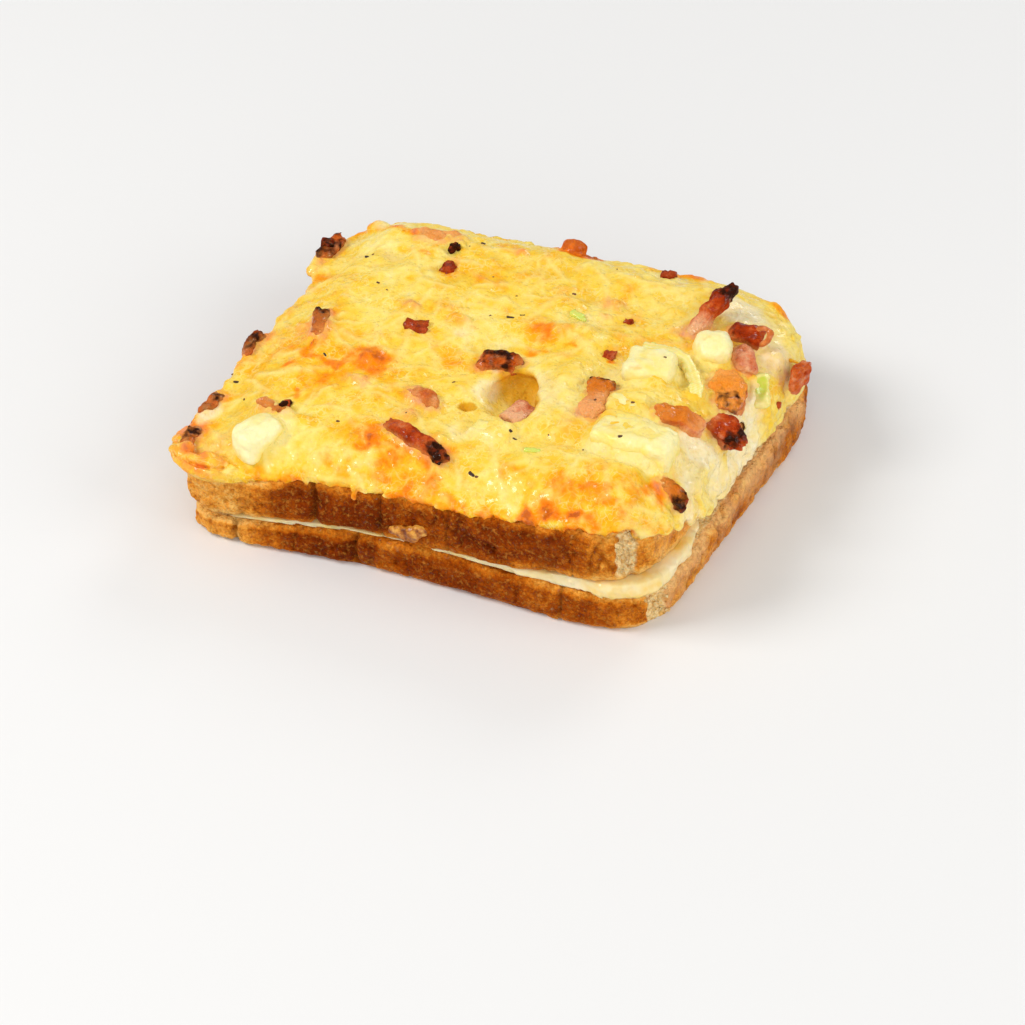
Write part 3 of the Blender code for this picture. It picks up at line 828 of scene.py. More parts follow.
# %% One skin over everything
CHEESE_SQUARE = 0.53
LAYERS = ("bread_bottom", "filling", "bread_top", "cheese_topping")
bare_cheese = copy_solids("cheese_alone", ["cheese_topping"])
cheese_tree = surface_tree(bare_cheese)
set_in_nodes = [node for node in nodes if node not in LAYERS]
cheese = copy_solids("baked_cheese", ["cheese_topping"] + set_in_nodes)
even_skin(cheese, CHEESE_SQUARE, 2)

# Where a stick or die stands out, the skin relaxes to a level sheet across its place
points, ways = skin(cheese)
off_cheese, _, _ = depths(points, cheese_tree, 2.0)
bulging = np.flatnonzero(np.abs(off_cheese) > 0.5)
sheet = cheese.vertex_groups.new(name="sheet")
sheet.add(bulging.tolist(), 1.0, "REPLACE")
finish_modifier(cheese, "SMOOTH", factor=0.9, iterations=500, vertex_group="sheet")
cheese.vertex_groups.clear()
bpy.data.objects.remove(bare_cheese)
even_skin(cheese, CHEESE_SQUARE, 10)
print("soft skin", len(cheese.data.vertices), "points, relaxed", len(bulging))

# %% [markdown]
# ### The burst bubble
#
# Near the middle, cream bubbled up through the cheese and burst. It left an open
# cave with a stick of bacon on its floor, and a pinhole beside it. Three uneven
# balls are cut out for the cave, and one for the pinhole. A cut leaves sharp
# rims, which is right for the roof, but the left and front walls have slumped,
# so there the skin is smoothed through a vertex group. The lumps join here too.

# %% The cave and the lumps
def near_cave(points, x, y, z, half_length, half_depth, half_height, turn):
    """1 on the wall of a cave and in it, 0 well outside."""
    across, along = turned_places(points, x, y, turn)
    across, along = across / half_length, along / half_depth
    above = (points[:, 2] - z) / half_height
    return 1 - ramp(np.sqrt(across ** 2 + along ** 2 + above ** 2), 1.12, 1.3)


# (x, y, z, half length, half depth, half height, turn); the last is the pinhole
CAVES = [
    (6.8, -10.2, 31.3, 7.2, 7.6, 3.5, -10), (3.6, -13.4, 35.0, 6.4, 6.4, 3.2, 10),
    (10.0, -17.6, 34.0, 5.2, 5.8, 4.4, 20), (-2.6, -19.6, 32.8, 2.1, 1.7, 2.0, 30),
]
for entry in CAVES:
    cave = ball(entry[:3], entry[3:6], entry[6])
    points, ways = skin(cave)
    reshape(cave, points + ways * (0.12 * entry[4] * rough(points, 4.0, 605))[:, None])
    finish_modifier(cheese, "BOOLEAN", operation="DIFFERENCE", object=cave, solver="MANIFOLD")
    bpy.data.objects.remove(cave)
cheese = join("baked_cheese", [cheese] + lumps)
even_skin(cheese, CHEESE_SQUARE, 3)

print("caves", len(CAVES))

# %% Slumped walls, and a plain underside
points, ways = skin(cheese)
slumped = spot(points, 0.6, -14.6, 8.5, 7.0) * (ways[:, 2] > -0.2) * (points[:, 2] > 27)
soft_wall = cheese.vertex_groups.new(name="soft_wall")
for index in np.flatnonzero(slumped > 0.2):
    soft_wall.add([int(index)], float(slumped[index]), "REPLACE")
finish_modifier(cheese, "SMOOTH", factor=0.9, iterations=50, vertex_group="soft_wall")
cheese.vertex_groups.clear()

# Its underside lies on the bread and is never seen, so it needs few faces
points, ways = skin(cheese)
thin_out(cheese, np.flatnonzero((ways[:, 2] < -0.6) & (from_edge(points) > 5)), 0.1)
points, ways = skin(cheese)
print("cheese", len(points), "points")

# %% [markdown]
# ### What lies where
#
# Relief and colour both ask the same questions of every point: how near is a
# stick or a die, how far in from the edge is it, is there cream here, did the
# oven brown it, does bacon or leek stain it from below. The answers are worked
# out once, as one number per point. Cream, browning and stains are lists of soft
# spots in mm, whose outlines are made ragged by noise. One creamy spot is light
# painted on the lit left wall of the cave, and the green stains are partly leek
# and partly painted shade in hollows.

# %% How near each point is to a stick or a die
def near_box(skin_points, piece, margin):
    """Which points lie in a box that is so many mm wider than the piece."""
    inner, _ = skin(piece)
    low, high = inner.min(axis=0) - margin, inner.max(axis=0) + margin
    return np.flatnonzero(np.all((skin_points > low) & (skin_points < high), axis=1))


set_in = [*sticks.values(), *dice.values(), leek, onion]
LEEK_CLIMB, ONION_CLIMB = 1.1, 0.9
climbs = [entry[-1] for entry in STICKS.values()] + [entry[3] for entry in DICE.values()]
climbs += [LEEK_CLIMB, ONION_CLIMB]
piece_far = np.full(len(points), 4.0)
piece_climb = np.zeros(len(points))
on_bacon = np.zeros(len(points))
for piece, climb in zip(set_in, climbs):
    which = near_box(points, piece, 3.0)
    far, _, _ = depths(points, surface_tree(piece), 4.0, which)
    closer = far < piece_far
    piece_far[closer], piece_climb[closer] = far[closer], climb
    on_bacon[closer] = piece in sticks.values()
print("points at or in a piece", int((piece_far < 0.3).sum()))

# %% Where the oven and the cream were
# (x, y, radius x, radius y, amount, turn)
BROWNED = [
    (-51.6, -17.5, 3.2, 2.8, 0.36, 0), (-47.6, -11.9, 4.5, 2.2, 0.24, -20),
    (-39.7, -13.0, 5.5, 2.4, 0.28, 15), (-31.3, -10.6, 6.0, 7.0, 0.34, 10),
    (-44.3, -25.0, 2.6, 2.6, 0.30, 0), (-28.7, -46.0, 4.5, 2.8, 0.24, 0),
    (-17.5, -41.0, 11, 5.0, 0.26, -10), (-38.1, 33.8, 3.0, 2.4, 0.20, 0),
    (-33.2, 31.7, 3.2, 2.4, 0.22, 0), (-31.9, 21.8, 2.4, 1.8, 0.22, 0),
    (-25.2, 28.4, 4.0, 3.6, 0.28, 0), (-13.9, 28.0, 7.0, 6.0, 0.12, 0),
    (-12.6, 43.0, 6.0, 3.4, 0.24, -15), (6.1, 11.0, 8.5, 5.5, 0.30, 30),
    (4.5, 4.6, 6.5, 2.8, 0.34, 10), (14.8, 8.1, 1.8, 1.5, 0.30, 0),
    (24.9, 7.8, 1.9, 1.7, 0.50, 0), (18.9, 29.9, 3.0, 2.4, 0.22, 0),
    (37.0, -35.9, 8.0, 4.0, 0.20, -15), (15.8, -40.5, 6.5, 4.0, 0.22, 0),
    (26.0, -47.5, 7.5, 4.0, 0.26, -5), (42.9, -44.7, 7.5, 4.5, 0.24, -10),
    (52.6, -36.5, 4.5, 4.0, 0.30, 0), (33.2, -43.5, 12, 4.0, 0.22, -8),
    (47.0, -38.0, 8.0, 5.0, 0.24, 0), (-66.3, -40.0, 6.0, 8.0, 0.18, 0),
    (-62.0, -50.0, 12, 4.5, 0.30, 0), (-46.0, 43.0, 14, 3.0, 0.50, -14),
    (1.2, 50.0, 7.5, 6.0, 1.60, 0), (57.0, 50.0, 9.0, 3.2, 0.34, -18),
    (-57.5, 23.6, 4.0, 4.0, 0.26, 0), (28.0, 50.0, 14, 3.4, 0.28, 0),
    (30.0, -50.0, 28, 2.6, 0.30, 0), (-2.0, -50.0, 22, 2.4, 0.14, 0),
    (-44.0, -50.0, 12, 2.6, 0.20, 0), (-36.0, -20.0, 30, 24, 0.14, 0),
    (-14.0, -42.0, 36, 12, 0.15, -4), (38.0, -43.0, 24, 9.0, 0.20, -6),
    (-20.0, -38.0, 14, 7.0, 0.10, -20), (-40.0, -22.0, 9.0, 7.0, 0.10, 0),
    (-52.0, 0.0, 12, 26, 0.08, 0),
]
# Creamy patches; the one at (-0.5, -12.0) is painted light: the lit left wall of the cave painted
# pale
CREAMY_AND_LIT_WALL = [
    (56.1, -14.4, 8.5, 7.0, 1.0, 0), (50.8, 38.1, 10, 8.0, 0.95, -15),
    (55.5, -23.0, 7.0, 8.0, 0.55, 0), (67.0, -8.0, 9.0, 20, 0.85, 8),
    (61.0, 28.0, 8.0, 11, 0.55, 0), (61.5, 6.0, 7.0, 12, 0.75, 0),
    (-66.5, -33.5, 4.0, 7.0, 0.65, 0), (12.0, -14.0, 9.0, 13, 0.35, 0),
    (-44.0, -38.5, 7.0, 5.0, 0.30, 0), (2.0, -31.0, 9.0, 4.0, 0.45, 0),
    (34.0, 5.0, 12, 10, 0.30, 0), (-0.5, -12.0, 4.6, 8.0, 0.70, 0),
    (58.6, -31.0, 4.0, 9.0, 0.60, 10), (46.0, -28.0, 8.0, 5.0, 0.35, -20),
    (14.0, 18.0, 11, 8.0, 0.22, 0), (-50.5, 45.0, 5.5, 3.5, 0.55, -12),
    (52.0, -50.0, 7.0, 6.0, 0.3, 0),
]
PINK = [
    (-31.9, -19.3, 5.0, 3.0, 0.60, -10), (-15.1, -27.4, 3.8, 4.2, 0.60, 0),
    (-14.2, -21.9, 4.5, 4.5, 0.35, 0), (-28.6, 10.8, 6.5, 2.6, 0.50, -12),
    (-15.1, 9.1, 6.0, 3.0, 0.45, 0), (-14.8, 5.5, 3.2, 2.2, 0.35, 0),
    (-10.2, 41.0, 5.0, 2.2, 0.45, -35), (19.2, 28.9, 6.0, 4.0, 0.35, 0),
    (19.0, 22.8, 3.6, 2.6, 0.40, 0), (40.0, 24.5, 6.0, 4.0, 0.50, 35),
    (62.7, 27.5, 5.5, 7.5, 0.55, 0), (61.0, 12.0, 4.5, 8.0, 0.25, 0),
    (24.0, -19.5, 4.0, 6.0, 0.35, 0), (-52.5, -3.3, 4.5, 5.0, 0.30, 0),
    (-25.2, 29.5, 3.5, 4.0, 0.30, 0), (-60.0, 17.0, 4.5, 4.0, 0.35, 0),
    (63.5, -2.0, 4.0, 6.0, 0.35, 0), (59.0, -30.0, 3.5, 8.0, 0.30, 10),
    (45.0, 27.0, 4.0, 4.0, 0.35, 0),
]
# Green patches: partly leek stains, partly painted greenish shade in hollows such as the pinhole
GREEN = [
    (16.7, -35.1, 7.0, 2.6, 0.50, -8), (-21.9, -1.4, 9.0, 4.0, 0.35, 0),
    (-40.0, 5.0, 9.0, 5.0, 0.25, 0), (47.9, 14.1, 3.5, 3.0, 0.50, 0),
    (0.0, -33.0, 7.0, 3.5, 0.40, 0), (-2.4, -19.0, 2.4, 2.2, 0.80, 0),
    (64.0, 18.0, 4.0, 7.0, 0.40, 0), (-60.0, -32.0, 5.0, 6.0, 0.30, 0),
    (-4.0, 12.0, 9.0, 5.0, 0.18, 0), (-46.0, 30.0, 8.0, 5.0, 0.25, 0),
    (28.0, 20.0, 8.0, 5.0, 0.22, 0),
]


def patches(points, entries, ragged=1.3):
    """Soft patches with ragged outlines, seen from above."""
    moved = wandered(points, 3.2, 601, ragged)
    total = np.zeros(len(points))
    for x, y, radius_x, radius_y, amount, turn in entries:
        total += amount * spot(moved, x, y, radius_x, radius_y, turn)
    return total


cream_and_lit_wall = patches(points, CREAMY_AND_LIT_WALL, 2.0).clip(0, 1)
edge = from_edge(points)
top = ramp(ways[:, 2], -0.15, 0.35)
print("creamy share", round(float((cream_and_lit_wall * top).sum() / top.sum()), 3))

# %% [markdown]
# ### Relief of the melted cheese
#
# Some shreds melted last, and still lie as soft ridges. Between them the skin has
# blisters, pits and, along the front, curds, and bacon just under it makes low
# mounds. All of this is real geometry, because low light and the outline show it.
# Cream is smoother, so it takes less of it, and near a stick or a die the relief
# fades out, so that the fillet there stays clean.

# %% Shreds that kept their shape
rng = np.random.default_rng(7)
SHREDS = 300
strands = np.zeros(len(points))
flat = wandered(points, 4, 611, 1.1)
for _ in range(SHREDS):
    x, y = rng.uniform(-66, 60), rng.uniform(-50, 48)
    angle, half, wide = rng.uniform(0, math.pi), rng.uniform(2.5, 8.0), rng.uniform(0.55, 0.95)
    dx, dy = math.cos(angle) * half, math.sin(angle) * half
    near = (np.abs(points[:, 0] - x) < abs(dx) + 3) & (np.abs(points[:, 1] - y) < abs(dy) + 3)
    far = path_distance(flat[near], [(x - dx, y - dy), (x + dx, y + dy)])
    raised = rng.uniform(0.4, 1.0) * np.exp(-(far / wide) ** 2)
    strands[near] = np.maximum(strands[near], raised)
print("points on shreds", int((strands > 0.5).sum()))

# %% Relief of the cheese
# Bacon just under the skin: (x, y, radius x, radius y, height, turn)
UNDER_SKIN = [
    (-31.8, -19.0, 3.6, 2.4, 1.3, 15), (-15.1, 9.1, 3.6, 2.4, 1.1, -10),
    (-28.3, 10.9, 3.6, 2.2, 1.0, -12), (-14.8, -27.8, 2.6, 3.2, 1.2, 0),
    (62.2, 27.8, 4.0, 5.0, 1.4, 0), (19.1, 29.4, 3.0, 2.6, 0.9, 0),
    (19.0, 22.6, 2.4, 2.0, 1.0, 0), (-31.0, -9.5, 3.8, 5.0, 1.0, 0),
    (-10.2, 41.0, 4.0, 2.0, 0.7, -35), (34.0, 31.0, 3.0, 2.2, 0.8, 30),
    (9.0, 25.0, 6.0, 4.0, 0.9, 0), (14.0, 13.0, 8.0, 6.0, 1.0, 20),
    (-40.0, -36.0, 5.0, 3.5, 0.9, 0), (-6.0, -36.0, 6.0, 3.0, 0.8, 10),
    (60.5, 10.0, 3.0, 5.0, 0.9, 0),
]
blisters = round_cells(points, 3.0, 621, 0.40, 0.26) * ramp(mottle(points, 9, 641), -0.1, 0.5)
pits = round_cells(points, 2.2, 625, 0.30, 0.2) * ramp(mottle(points, 7, 643), 0.0, 0.5)
curdled = mottle(points, 12, 657) + 1.1 * ramp(-points[:, 1], 38, 48)
curds = round_cells(points, 3.3, 655, 0.62, 0.45) * ramp(curdled, 0.0, 0.8)
dry = 1 - 0.6 * cream_and_lit_wall
lift = 0.85 * rough(points, 12, 631)
fine_lift = 0.66 * rough(points, 5.2, 635) * (0.4 + 0.6 * dry)
bumps = 0.32 * strands + 0.26 * blisters - 0.30 * pits + 0.55 * curds
fine_lift += (bumps + 0.07 * mottle(points, 1.7, 645)) * dry
lift += fine_lift
for x, y, radius_x, radius_y, height, turn in UNDER_SKIN:
    lift += height * spot(flat, x, y, radius_x, radius_y, turn)

# A long crease runs in front of the potato heap
CREASE = [(8.0, -27.5), (18.0, -27.5), (30.0, -28.5), (42.0, -31.5), (50.0, -32.5)]
from_crease = path_distance(points, CREASE)
lift -= 1.1 * np.exp(-(from_crease / 1.6) ** 2) * ramp(points[:, 0], 6, 14)
in_cave = np.max([near_cave(points, *entry) for entry in CAVES[:3]], axis=0)
small_hole = near_cave(points, *CAVES[3])
lift *= 1 - 0.4 * in_cave

# %% Its edge, and the skin round what stands in it
near_edge = 1 - ramp(edge, 0.4, 3.5)
lumpy = ramp(-points[:, 0], 51, 56) * ramp(-points[:, 1], 38, 44)
lift += near_edge * (0.50 * rough(points, 2.6, 651) - 0.25) + lumpy * 0.55 * rough(points, 1.7, 653)
calm = ramp(piece_far, 0.4, 2.0)
move = lift * top * calm
in_and_out = 0.35 * rough(points, 3.4, 661) + 0.30 * mottle(points, 1.3, 665) - 0.2
sideways = near_edge * in_and_out * ramp(points[:, 2], 15, 22)
shaped = points + ways * move[:, None]
shaped[:, :2] += ways[:, :2] * (sideways * (1 - near_edge * 0.3))[:, None]
print("relief from", round(float(move.min()), 2), "to", round(float(move.max()), 2), "mm")

# %% [markdown]
# ### Hem and wet edges
#
# Melted cheese ran over the rim of the bread and stuck to the crust as a thin,
# ragged film. Points of the lowest band look for the nearest place on the crust
# and move onto it. Round every stick and die the cheese drew up a little, like
# water at the side of a glass, so the points near one are lifted.

# %% The thin hem on the crust
# The lowest band of cheese clings to the crust as a ragged film
HEM_REACH = 3.0
low_band = np.flatnonzero((edge < 4.5) & (ways[:, 2] < 0.7))
crust_far, crust_place, crust_way = depths(shaped, surface_tree(bread_top), HEM_REACH, low_band)
ragged_hem = 0.9 * rough(points, 3.1, 668) + 0.7 * mottle(points, 1.5, 669)
cling = 1 - ramp(crust_far + 0.8 * ragged_hem, 0.9, 2.3)
cling = cling * ramp(0.55 - ways[:, 2], 0.0, 0.5) * (1 - lumpy)
hem_place = crust_place + crust_way * (0.28 + 0.25 * np.maximum(ragged_hem, 0))[:, None]
higher = 1.0 * ragged_hem + 0.6 - 0.8 * ramp(-points[:, 1], 42, 48)
hem_place[:, 2] += higher * (crust_far < HEM_REACH - 0.1)
shaped = shaped * (1 - cling[:, None]) + hem_place * cling[:, None]
shaped[:, 2] += 2.4 * lumpy * near_edge * ramp(24.4 - points[:, 2], 0.0, 2.4)
print("hem points", int((cling > 0.5).sum()))

# %% Cheese climbs what stands in it
# A wet edge rises round each piece, more in some places than in others
climb = piece_climb * (1.1 + 0.7 * rough(points, 4.5, 691)) + 0.2 * mottle(points, 1.5, 693)
shaped[:, 2] += np.maximum(climb, 0) * (1 - ramp(piece_far, -0.3, 2.0)) ** 1.5 * (points[:, 2] > 20)

# What would rise above this height is pressed down
HIGHEST = 41.6
shaped[:, 2] -= 0.6 * np.maximum(shaped[:, 2] - HIGHEST, 0)
reshape(cheese, shaped)
finish_modifier(cheese, "SMOOTH", factor=0.3, iterations=1)
print("highest climb", round(float(climb.max()), 1), "mm")

# %% [markdown]
# ### Browning
#
# High places and the rim baked most, creamy ones least, and fat from each stick
# fried a halo round it. Shade is painted here too: pits, the pinhole and the back
# right of the cave go a darker gold, and ridges are painted paler. The masks
# painted here are read by the cheese material.

# %% Paint what the oven did, and painted shade and light
points, ways = skin(cheese)
baked = 0.30 + 0.22 * rough(points, 12, 671) + 0.15 * rough(points, 4.0, 675)
streaky = rough(points @ TURN * np.array([1.0, 0.45, 1.0]), 2.4, 673)
baked += patches(points, BROWNED, 2.4) * (1.1 + 0.8 * streaky) + 0.12 * lift.clip(-1, 1.2) * top
baked -= 0.45 * np.maximum(baked - 0.76, 0)
rim = 1 - ramp(edge, 0.8, 5.0)
not_right = ramp(-points[:, 0] + 0.9 * np.abs(points[:, 1]), -20, 20)
baked += rim * (0.12 + 0.22 * rough(points, 3.5, 681)) * not_right
front_hem = cling * (0.18 + 0.30 * rough(points, 2.4, 677)) * ramp(-points[:, 1], 40, 46)
baked += front_hem + 0.12 * lumpy * (0.3 + rough(points, 2.2, 683))
halo = on_bacon * (1 - ramp(piece_far, 0.3, 3.2)) * (0.6 + 0.8 * rough(points, 2.6, 679))
baked += 0.26 * halo.clip(0, 1)
baked *= 1 - 0.75 * cream_and_lit_wall * (1 - 0.4 * rim)
paint(cheese, "browned", baked)
# Cream, and the lit left wall of the cave painted pale as light
paint(cheese, "creamy_and_lit_wall", cream_and_lit_wall + 0.10 * rough(points, 2.5, 685) * (cream_and_lit_wall > 0.02))
over_bacon = on_bacon * ramp(piece_far, -2.5, -1.0) * (1 - ramp(piece_far, 0.3, 1.4))
stained = 1.5 * patches(points, PINK) * (0.7 + 0.5 * rough(points, 2.4, 687))
paint(cheese, "pink", stained + 0.6 * over_bacon + 0.30 * lumpy)
# Green: leek stains, and painted greenish shade in hollows
paint(cheese, "green", patches(points, GREEN, 2.0))
# Painted shade: the lower a place lies in the fine relief, the darker gold it is painted
sunk = ramp(-fine_lift, 0.05, 0.75) * top * calm

# Painted shade: pits and the pinhole go darker gold, and inside the cave the
# painted shade goes gold towards the back right
shade = ramp(points[:, 0] + 1.2 * points[:, 1], -13.0, -3.0)
shade = in_cave * shade * (0.9 + 0.3 * rough(points, 3.0, 689))
paint(cheese, "deep", 0.60 * sunk + shade + small_hole)
# Painted light: besides the shreds, high ridges of the fine relief are painted paler
paint(cheese, "strands", np.maximum(strands, ramp(fine_lift, 0.25, 0.9) * top * 0.8))
print("browned mean", round(float(baked.mean()), 3))

# %% Cheese clings to what stands in it
cheese_skin = surface_tree(cheese)
for piece in set_in:
    outer, _ = skin(piece)
    far, _, _ = depths(outer, cheese_skin, 3.0)
    paint(piece, "clinging", (1 - ramp(far, 0.2, 1.7)) * (0.75 + 0.6 * rough(outer, 2.5, 695)))
print("painted the waterline of", len(set_in), "pieces")

# %% [markdown]
# ## Small things on top
#
# Crumbs of bacon, burnt flecks of herb and bright shreds of leek lie where they
# fell. Each kind is modelled once from a cube cut into few small faces, copied to
# its places with uneven relief of its own, and joined to one piece. Rays cast
# straight down find the height of the food under each, so nothing floats.

# %% Find the height of the food
ground = [surface_tree(piece) for piece in [cheese, *set_in]]


def height_at(x, y):
    """Height in mm of the topmost surface at this place."""
    hits = [tree.ray_cast(Vector((x, y, 60)) * MM, Vector((0, 0, -1)))[0] for tree in ground]
    return max((hit.z / MM for hit in hits if hit is not None), default=None)


def crumb_model(name, cuts):
    """A knobbly little block, 1 mm wide."""
    bpy.ops.object.select_all(action="DESELECT")
    bpy.ops.mesh.primitive_cube_add(size=MM)
    piece = bpy.context.object
    piece.name = name
    bpy.ops.object.mode_set(mode="EDIT")
    bpy.ops.mesh.select_all(action="SELECT")
    bpy.ops.mesh.subdivide(number_cuts=cuts)
    bpy.ops.object.mode_set(mode="OBJECT")
    finish_modifier(piece, "SMOOTH", factor=0.6, iterations=3)
    bpy.ops.object.shade_smooth()
    return piece


def copy_model(name, model):
    """A copy with a mesh of its own."""
    piece = bpy.data.objects.new(name, model.data.copy())
    bpy.context.scene.collection.objects.link(piece)
    return piece


def strew(name, model, entries, uneven=0.34):
    """Copies of a model: (x, y, sunk, length, width, height, turn, tilt, fried, charred)."""
    copies = []
    for n, (x, y, sunk, length, width, height, turn, tilt, fried, charred) in enumerate(entries):
        z = height_at(x, y)
        if z is None:
            continue
        piece = copy_model(name, model)
        turned = Euler((0, math.radians(tilt), math.radians(turn)))
        points, ways = skin(piece)
        points = points * np.array([length, width, height]) * 1.15
        knobs = rough(points + 7.3 * n, 1.5, 700) + 0.4 * mottle(points, 0.7, 705)
        points = points + ways * (uneven * min(length, 3) * knobs)[:, None]
        points = points @ np.array(turned.to_matrix()).T
        reshape(piece, points + np.array([x, y, z + height * (0.5 - sunk)]))
        paint(piece, "fried", fried + 0.25 * rough(points, 1.4, 701 + n))
        paint(piece, "charred", ramp(charred + 0.4 * rough(points, 0.9, 750 + n), 0.4, 0.8))
        paint(piece, "fat", 0.2 + 0.3 * rough(points, 1.5, 800 + n))
        paint(piece, "glazed", 0.3 * rough(points, 1.5, 850 + n))
        copies.append(piece)
    bpy.data.objects.remove(model)
    print(name, len(copies))
    return join(name, copies)


# %% Crumbs of bacon
# (x, y, sunk, length, width, height, turn, tilt, fried, charred)
BACON_CRUMBS = [
    (-67.6, 5.3, 0.35, 3.4, 2.2, 2.2, 80, 5, 0.75, 0.3),
    (-68.3, -3.2, 0.35, 2.8, 2.2, 2.0, 70, 0, 0.7, 0.4),
    (-60.9, 18.0, 0.4, 3.6, 2.0, 2.0, 60, -10, 0.62, 0.1),
    (27.4, 47.6, 0.45, 3.0, 2.2, 2.8, 10, 0, 0.7, 0.2),
    (-24.8, 3.9, 0.62, 5.2, 2.8, 2.4, 5, 0, 0.62, 0.35),
    (-26.4, 36.2, 0.5, 2.4, 1.7, 2.0, 30, 0, 0.8, 0.7),
    (-25.4, 28.2, 0.6, 3.8, 2.6, 2.6, 60, 0, 0.66, 0.35),
    (24.9, 7.8, 0.6, 2.6, 2.2, 2.0, 0, 0, 0.5, 0.2),
    (24.7, 23.2, 0.6, 1.8, 1.4, 1.5, 0, 0, 0.62, 0.3),
    (62.0, -16.6, 0.25, 4.2, 3.0, 2.9, 60, 30, 0.60, 0.25),
    (65.6, 19.7, 0.35, 1.5, 1.4, 1.4, 0, 0, 0.6, 0.2),
    (-60.6, 34.0, 0.5, 2.4, 1.9, 1.8, 0, 0, 0.75, 0.6),
    (-45.5, -31.0, 0.6, 2.2, 1.4, 1.6, 110, 0, 0.6, 0.5),
    (-45.9, -33.5, 0.6, 1.6, 1.0, 1.4, 60, 0, 0.5, 0.8),
]
bacon_crumbs = strew("bacon_crumbs", crumb_model("bacon_crumb", 4), BACON_CRUMBS)

# %% Burnt flecks of herb
# (x, y, length, width, turn)
FLECKS = [
    (-63.6, -21.7, 1.3, 0.6, 20), (-66.6, -16.5, 0.9, 0.5, 60), (-43.4, -11.7, 1.2, 0.35, -40),
    (-31.1, -34.3, 0.9, 0.5, 0), (-40.7, 18.4, 0.8, 0.5, 0), (-20.8, 42.0, 1.1, 0.7, 0),
    (-47.5, 29.0, 1.5, 0.6, 30), (-46.6, 30.2, 0.8, 0.4, 80), (8.3, 29.1, 0.9, 0.5, 10),
    (-3.6, 15.1, 1.9, 0.45, 15), (-0.9, 16.7, 1.6, 0.35, 25), (11.9, -28.6, 1.3, 0.6, 140),
    (13.6, -29.8, 1.5, 0.35, -20), (7.0, -42.5, 1.7, 0.8, -20), (8.4, -42.9, 0.9, 0.5, 40),
    (40.1, -28.0, 1.2, 0.55, 30), (38.1, -12.8, 0.8, 0.4, 20), (40.3, 5.4, 0.7, 0.4, 0),
    (-31.4, -50.2, 2.4, 0.9, 5), (-28.9, -50.3, 3.4, 1.1, -4), (-25.6, -50.1, 2.2, 0.6, 12),
    (29.0, -15.0, 0.9, 0.4, 70), (-8.8, -12.5, 0.8, 0.4, 50), (51.0, -7.5, 0.9, 0.5, 0),
]
fleck_dice = np.random.default_rng(21)
ANYWHERE = ((-60, 56), (-47, 46), (0.3, 0.6), (0.2, 0.32), (0, 180))
for _ in range(12):
    FLECKS.append(tuple(fleck_dice.uniform(*span) for span in ANYWHERE))

# Each lies half sunk and nearly flat; a long one is burnt more
fleck_entries = [
    (x, y, 0.6, length, width, 0.25 + 0.15 * width, turn, 8, 0.85, 0.45 + 0.4 * (length > 1))
    for x, y, length, width, turn in FLECKS
]
flecks = strew("burnt_flecks", crumb_model("burnt_fleck", 2), fleck_entries, 0.12)

# %% [markdown]
# ### Shapes of their own
#
# Three small things have a shape that no crumb gives. A ring of fried bacon rind
# stands behind the heap, a thread of cheese has baked hard and points out to the
# right, and a bead of fat and cheese has caramelised on the front crust. Each
# starts from the primitive nearest to it: a torus, a cylinder and balls.

# %% Rind curl
bpy.ops.object.select_all(action="DESELECT")
bpy.ops.mesh.primitive_torus_add(
    major_radius=2.1 * MM, minor_radius=0.75 * MM, major_segments=36, minor_segments=14
)
curl = bpy.context.object
curl.name = "rind_curl"
points, ways = skin(curl)
OPENS_AT = 2.6
turned_at = np.arctan2(points[:, 1], points[:, 0])
opening = np.exp(-((turned_at - OPENS_AT) / 0.7) ** 2)
points = points + ways * (0.45 * rough(points, 1.9, 901) - 0.5 * opening)[:, None]
points[:, 2] += 0.6 * np.cos(turned_at * 1.5) - 1.6 * opening
points = (points * np.array([1.25, 0.85, 1.0])) @ np.array(Euler((0.75, -0.35, 0.5)).to_matrix()).T
CURL_X, CURL_Y = 58.0, 28.4
reshape(curl, points + np.array([CURL_X, CURL_Y, height_at(CURL_X, CURL_Y) + 0.3]))
paint(curl, "fried", 0.45 + 0.5 * rough(points, 2.2, 905))
paint(curl, "charred", ramp(rough(points, 1.6, 907), 0.35, 0.7))
paint(curl, "fat", 0.7)
paint(curl, "glazed", 0.3 + 0.3 * rough(points, 2, 909))
bpy.ops.object.shade_smooth()
print(curl.name, len(points), "points")

# %% Baked thread
THREAD = [(64.4, 31.6, 26.6), (66.6, 30.9, 27.0), (68.6, 29.7, 27.3), (71.0, 29.6, 27.6)]
bpy.ops.object.select_all(action="DESELECT")
bpy.ops.mesh.primitive_cylinder_add(vertices=8, radius=0.5 * MM, depth=1 * MM)
thread = bpy.context.object
thread.name = "baked_thread"
bpy.ops.object.mode_set(mode="EDIT")
for level in (0, -0.32, -0.16, 0.16, 0.32):
    bpy.ops.mesh.select_all(action="SELECT")
    bpy.ops.mesh.bisect(plane_co=(0, 0, level * MM), plane_no=(0, 0, 1))
bpy.ops.object.mode_set(mode="OBJECT")
points, ways = skin(thread)
share = points[:, 2] + 0.5
stops = np.array(THREAD)
centre = np.stack([np.interp(share * 3, range(4), stops[:, k]) for k in range(3)], axis=1)
thin = (1.15 - share)[:, None]
reshape(thread, centre + np.stack([0 * share, points[:, 0], points[:, 1]], axis=1) * thin)
finish_modifier(thread, "SUBSURF", levels=1, render_levels=1)
bpy.ops.object.shade_smooth()
points, _ = skin(thread)
paint(thread, "browned", 0.50 + 0.4 * ramp(points[:, 0], 66, 71))
print(thread.name, len(points), "points")

